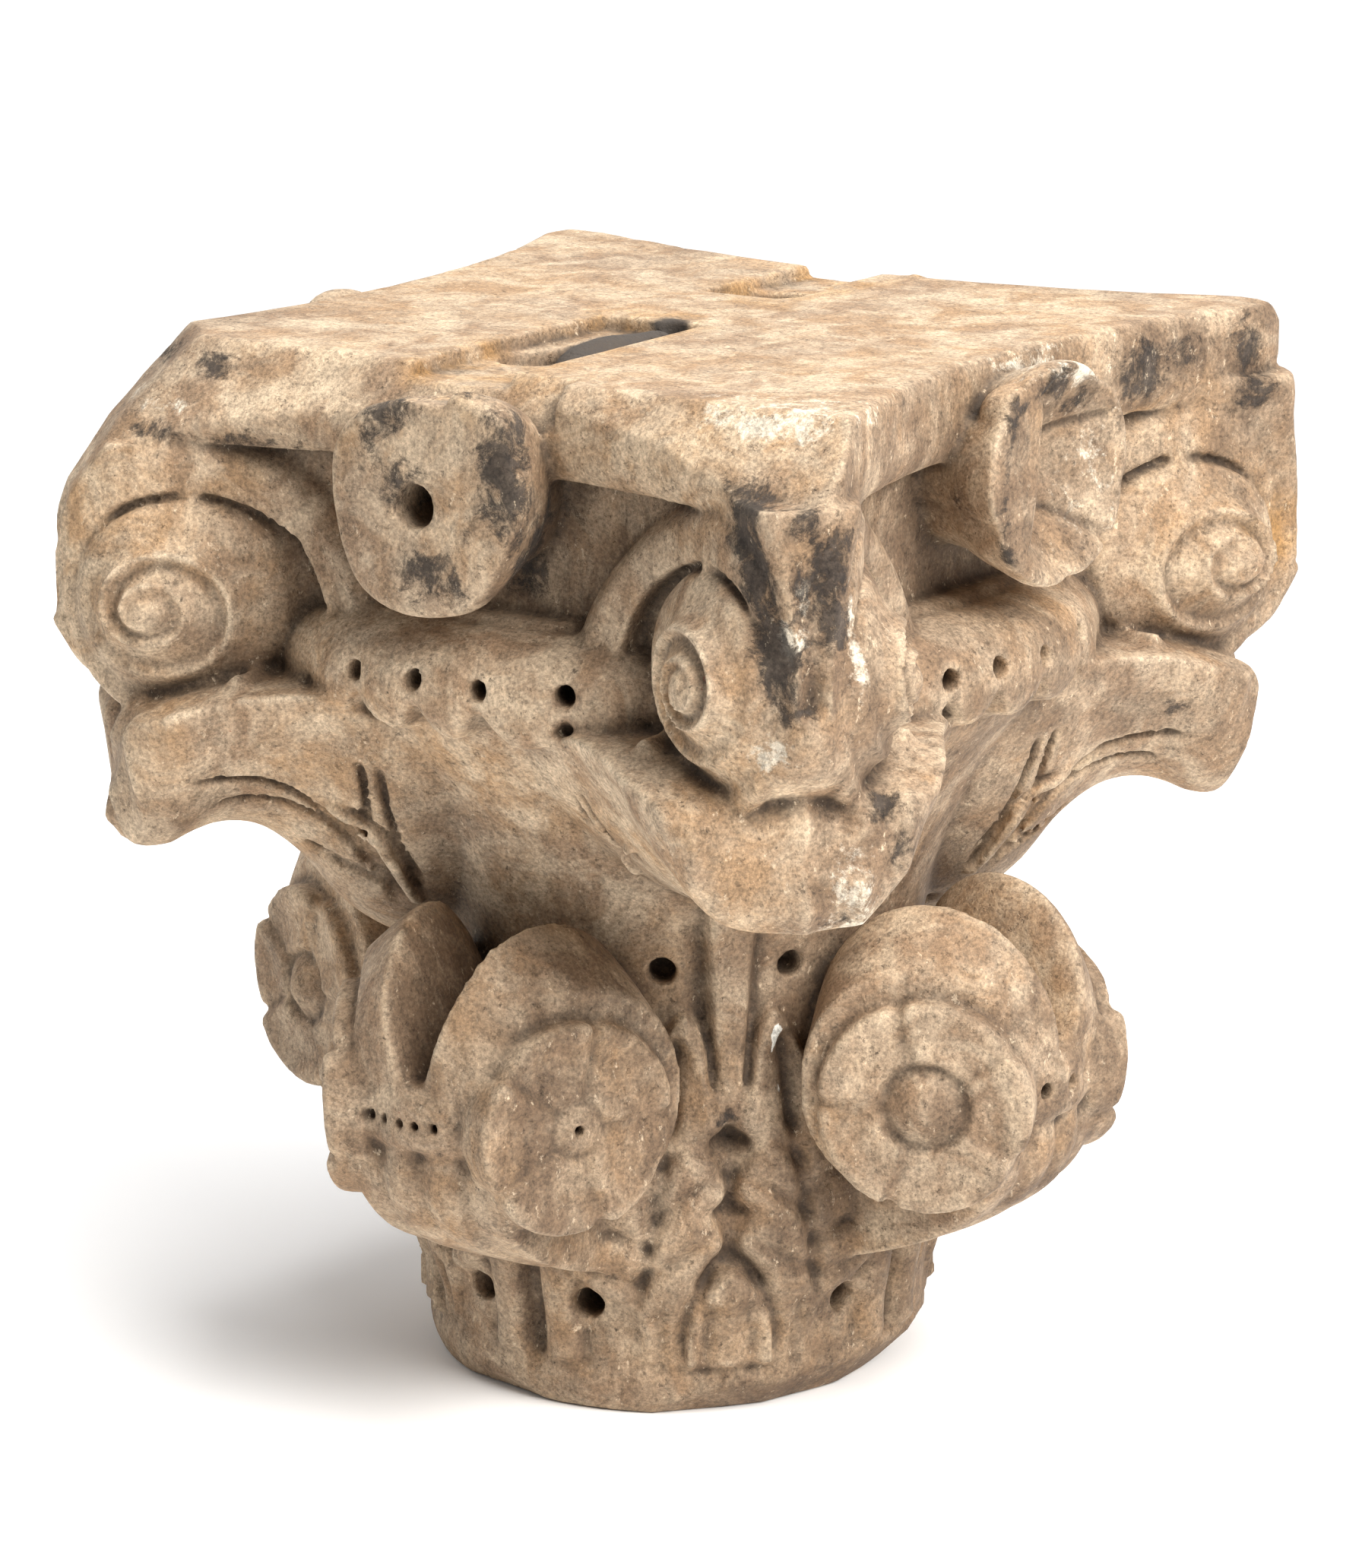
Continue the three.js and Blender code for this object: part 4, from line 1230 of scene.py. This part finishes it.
class Recipe:
    """A material built by short calls: each gives the socket that holds its result."""

    def __init__(self, name):
        self.material = bpy.data.materials.new(name)
        self.material.use_nodes = True
        self.tree = self.material.node_tree
        self.shader = self.tree.nodes["Principled BSDF"]
        self.place = self.node("ShaderNodeTexCoord").outputs["Object"]

    def node(self, kind, **settings):
        made = self.tree.nodes.new(kind)
        for key, value in settings.items():
            setattr(made, key, value)
        return made

    def put(self, value, socket):
        if isinstance(value, bpy.types.NodeSocket):
            self.tree.links.new(value, socket)
        elif isinstance(value, tuple) and len(value) == 3 and socket.type == "RGBA":
            socket.default_value = (*value, 1.0)
        else:
            socket.default_value = value

    def noise(self, scale, detail=3.0, rough=0.55, twist=0.0, stretch=None):
        made = self.node("ShaderNodeTexNoise")
        made.inputs["Scale"].default_value = scale
        made.inputs["Detail"].default_value = detail
        made.inputs["Roughness"].default_value = rough
        made.inputs["Distortion"].default_value = twist
        place = self.place
        if stretch:
            turn = self.node("ShaderNodeMapping")
            turn.inputs["Rotation"].default_value = stretch[0]
            turn.inputs["Scale"].default_value = stretch[1]
            self.put(place, turn.inputs["Vector"])
            place = turn.outputs["Vector"]
        self.put(place, made.inputs["Vector"])
        return made.outputs["Fac"]

    def held(self, name):
        return self.node("ShaderNodeAttribute", attribute_name=name).outputs["Fac"]

    def sums(self, kind, a, b):
        made = self.node("ShaderNodeMath", operation=kind)
        self.put(a, made.inputs[0])
        self.put(b, made.inputs[1])
        return made.outputs[0]

    def times(self, a, b):
        return self.sums("MULTIPLY", a, b)

    def plus(self, a, b):
        return self.sums("ADD", a, b)

    def broken_up(self, name, noise, *limits):
        """A held mask times a span of noise."""
        return self.times(self.held(name), self.span(noise, *limits))

    def eaten(self, name, weight, noise, low, high):
        """A held mask with a ragged edge: weight * mask + noise, cut between two levels."""
        return self.span(self.plus(self.times(self.held(name), weight), noise), low, high)

    def span(self, value, low, high, to_low=0.0, to_high=1.0):
        made = self.node("ShaderNodeMapRange", interpolation_type="SMOOTHSTEP")
        for key, number in (("From Min", low), ("From Max", high), ("To Min", to_low), ("To Max", to_high)):
            made.inputs[key].default_value = number
        self.put(value, made.inputs["Value"])
        return made.outputs["Result"]

    def blend(self, share, a, b, way="MIX"):
        made = self.node("ShaderNodeMix", data_type="RGBA", blend_type=way)
        self.put(share, made.inputs[0])
        self.put(a, made.inputs[6])
        self.put(b, made.inputs[7])
        return made.outputs[2]


TAN = (0.30, 0.197, 0.120)
HONEY = (0.41, 0.258, 0.138)
CREAM = (0.68, 0.54, 0.38)
GREY_BROWN = (0.130, 0.082, 0.049)
UMBER = (0.045, 0.029, 0.018)
SOOT = (0.020, 0.017, 0.016)
SOOT_BROWN = (0.060, 0.047, 0.038)
OCHRE = (0.42, 0.22, 0.06)
OLD_MORTAR = (0.04, 0.034, 0.03)
IRON_RED = (0.16, 0.03, 0.02)
BARE_WHITE = (0.74, 0.66, 0.53)
PAINT = (0.66, 0.64, 0.58)


def marble():
    """Weathered marble: sugary grain over tan and honey clouds, then coats of tone one over another, each
    as strong as its mask times its strength, darkened and lightened grain by grain. Some coats are painted
    shade: on the faces turned from the key light, low down, and, together with dirt, in the hollows."""
    m = Recipe("marble")
    grain = m.noise(620, 3, 0.7)
    fine_grain = m.noise(1500, 2, 0.7)
    dragged = m.noise(160, 4, 0.65, 0.3, ((0.5, 0.3, 0.6), (1.0, 1.0, 0.28)))
    streaks = m.noise(70, 7, 0.76, 0.5, ((0.0, 0.0, 0.35), (0.25, 1.0, 1.0)))
    pale_specks = m.noise(230, 5, 0.78, 0.2, ((0.2, 0.9, 0.1), (1.0, 1.0, 0.6)))
    crust = m.eaten("soot", 0.45, m.noise(60, 9, 0.82, 0.4), 0.76, 0.88)
    crust_tone = m.blend(m.span(m.noise(130, 5, 0.75), 0.40, 0.62), SOOT, SOOT_BROWN)
    coats = [
        (m.span(m.noise(42, 5, 0.65, 0.6), 0.35, 0.66), 0.72, CREAM),
        (m.span(m.noise(9, 3, 0.6), 0.5, 0.68), 0.35, GREY_BROWN),
        (m.broken_up("edge", m.noise(70, 4, 0.6), 0.32, 0.6), 0.8, CREAM),
        # Painted shade on the faces turned from the key light and low on the stone, with the soot film.
        (m.broken_up("soot_and_painted_shade", m.noise(38, 6, 0.7, 0.4), 0.34, 0.62, 0.5, 1.0), 0.95, GREY_BROWN),
        (m.eaten("bare", 0.42, m.noise(75, 8, 0.8, 0.3), 0.70, 0.84), 0.8, BARE_WHITE),
        # Darker in the deep and fine hollows: dirt there, and painted shade.
        (m.broken_up("deep", m.noise(55, 4, 0.6), 0.2, 0.7, 0.4, 1.0), 0.75, GREY_BROWN),
        (m.broken_up("hollow", m.noise(120, 5, 0.7), 0.30, 0.54, 0.45, 1.0), 0.92, UMBER),
        (m.broken_up("broken", m.noise(60, 5, 0.7), 0.3, 0.6), 0.75, GREY_BROWN),
        (m.broken_up("bed", streaks, 0.46, 0.57), 0.8, GREY_BROWN),
        (m.broken_up("ochre", m.noise(30, 4, 0.6), 0.38, 0.62), 0.55, OCHRE),
        (crust, 0.9, crust_tone),
        (m.eaten("red", 0.5, m.noise(420, 3, 0.6), 0.86, 0.96), 0.8, IRON_RED),
        (m.eaten("drip", 1.0, m.times(m.noise(150, 3, 0.6), 0.5), 0.92, 0.98), 1.0, PAINT),
        (m.span(m.noise(330, 5, 0.75), 0.60, 0.68), 0.7, UMBER),
        (m.span(m.noise(105, 7, 0.78, 0.3), 0.60, 0.68), 0.5, UMBER),
        (m.span(pale_specks, 0.60, 0.68), 0.55, CREAM),
    ]
    colour = m.blend(m.span(m.noise(16, 4, 0.6, 0.4), 0.36, 0.64), TAN, HONEY)
    for mask, strength, tone in coats:
        colour = m.blend(m.times(mask, strength), colour, tone)
    shade = m.plus(m.span(grain, 0.25, 0.75, 0.60, 1.34), m.span(dragged, 0.3, 0.7, -0.14, 0.14))
    shade = m.times(shade, m.span(fine_grain, 0.25, 0.75, 0.86, 1.12))
    grey = m.node("ShaderNodeCombineColor")
    for socket in grey.inputs[:3]:
        m.put(shade, socket)
    colour = m.blend(1.0, colour, grey.outputs[0], "MULTIPLY")
    colour = m.blend(m.times(m.held("mortar"), 0.95), colour, OLD_MORTAR)
    m.put(colour, m.shader.inputs["Base Color"])
    dull = m.span(m.plus(grain, m.times(crust, 0.4)), 0.3, 1.1, 0.72, 0.95)
    m.put(dull, m.shader.inputs["Roughness"])
    m.shader.inputs["Specular IOR Level"].default_value = 0.35
    relief = m.times(grain, 0.5)
    pits = m.span(m.noise(210, 5, 0.75), 0.30, 0.42)
    for part, height in ((pits, 0.9), (m.noise(95, 4, 0.6), 0.7), (crust, 0.5)):
        relief = m.plus(relief, m.times(part, height))
    bump = m.node("ShaderNodeBump")
    bump.inputs["Strength"].default_value = 0.75
    bump.inputs["Distance"].default_value = 0.0009
    m.put(relief, bump.inputs["Height"])
    m.put(bump.outputs["Normal"], m.shader.inputs["Normal"])
    return m.material


def plaster_white():
    """The floor's finish: two near whites in wide clouds."""
    m = Recipe("studio_floor")
    white = m.blend(m.span(m.noise(3, 2), 0.3, 0.7), (0.93, 0.93, 0.93), (0.95, 0.95, 0.95))
    m.put(white, m.shader.inputs["Base Color"])
    m.shader.inputs["Roughness"].default_value = 0.9
    return m.material


# Camera: a long lens from the front corner, a little above the upper bed

CAMERA_AZIMUTH = math.radians(33.71)
CAMERA_RISE = math.radians(14.29)
CAMERA_AWAY = 2.24557
# How far the aim lies to the right of the axis and above the ground
CAMERA_SIDE = 0.00105
CAMERA_AIM = 0.23387
LENS_MM = 127.36
SENSOR_MM = 36


def camera():
    """A camera at its azimuth round the axis and its rise over the ground, level from side to side."""
    right = np.array([math.cos(CAMERA_AZIMUTH), math.sin(CAMERA_AZIMUTH), 0])
    level = math.cos(CAMERA_RISE)
    back = np.array([right[1] * level, -right[0] * level, math.sin(CAMERA_RISE)])
    up = np.cross(back, right)
    place = right * CAMERA_SIDE + (0, 0, CAMERA_AIM) + back * CAMERA_AWAY
    lens = bpy.data.cameras.new("camera")
    lens.lens = LENS_MM
    lens.sensor_width = SENSOR_MM
    lens.clip_end = 60
    made = bpy.data.objects.new("camera", lens)
    columns = np.column_stack([right, up, back, place])
    made.matrix_world = [[*row] for row in np.vstack([columns, (0, 0, 0, 1)]).T]
    bpy.context.scene.collection.objects.link(made)
    bpy.context.scene.camera = made


# Lamps: name, place, what it points at, size, watts, colour
LAMPS = [
    ("window_right", (2.7, -0.5, 2.5), (0, 0, 0.25), 2.8, 250, (1.0, 0.98, 0.95)),
    ("overhead", (0.2, 0.4, 3.2), (0, 0, 0.3), 2.4, 68, (1, 1, 1)),
    ("fill_left", (-2.2, -2.8, 1.4), (0, 0, 0.2), 2.2, 6, (0.97, 0.98, 1.0)),
]
FLOOR_HALF = 1.9


def soft_light(name, place, aim, size, watts, colour):
    """A round lamp that faces its aim."""
    lamp = bpy.data.lights.new(name, "AREA")
    lamp.shape = "DISK"
    lamp.size = size
    lamp.energy = watts
    lamp.color = colour
    made = bpy.data.objects.new(name, lamp)
    made.location = place
    made.rotation_euler = lamp_turn(np.array(aim) - place)
    bpy.context.scene.collection.objects.link(made)


def lamp_turn(direction):
    """Turn that points a lamp's -Z along a direction."""
    x, y, z = direction / np.linalg.norm(direction)
    return (math.acos(np.clip(-z, -1, 1)), 0.0, math.atan2(-x, y))


def studio():
    """A pale floor, a bright backdrop that dims towards the viewer's side, and soft lamps."""
    corners = np.array([(-1, -1, 0), (1, -1, 0), (1, 1, 0), (-1, 1, 0)]) * FLOOR_HALF
    floor = make_piece("studio_floor", corners, np.array([[0, 1, 2, 3]]))
    floor.data.materials.append(plaster_white())
    world = bpy.data.worlds.new("studio")
    bpy.context.scene.world = world
    world.use_nodes = True
    tree = world.node_tree
    away = tree.nodes.new("ShaderNodeTexCoord")
    axis = tree.nodes.new("ShaderNodeVectorMath")
    axis.operation = "DOT_PRODUCT"
    axis.inputs[1].default_value = (-math.sin(CAMERA_AZIMUTH), math.cos(CAMERA_AZIMUTH), 0.0)
    tree.links.new(away.outputs["Generated"], axis.inputs[0])
    spread = tree.nodes.new("ShaderNodeMapRange")
    for key, number in (("From Min", -0.5), ("From Max", 0.8), ("To Min", 0.15), ("To Max", 1.12)):
        spread.inputs[key].default_value = number
    tree.links.new(axis.outputs["Value"], spread.inputs["Value"])
    tree.links.new(spread.outputs["Result"], tree.nodes["Background"].inputs["Strength"])
    tree.nodes["Background"].inputs["Color"].default_value = (1, 1, 1, 1)
    for lamp in LAMPS:
        soft_light(*lamp)
    bpy.context.scene.view_settings.view_transform = "Standard"


camera()
studio()
stone_piece = carved_stone()
stone_piece.data.materials.append(marble())
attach(stone_piece, "root")
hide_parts("capital")
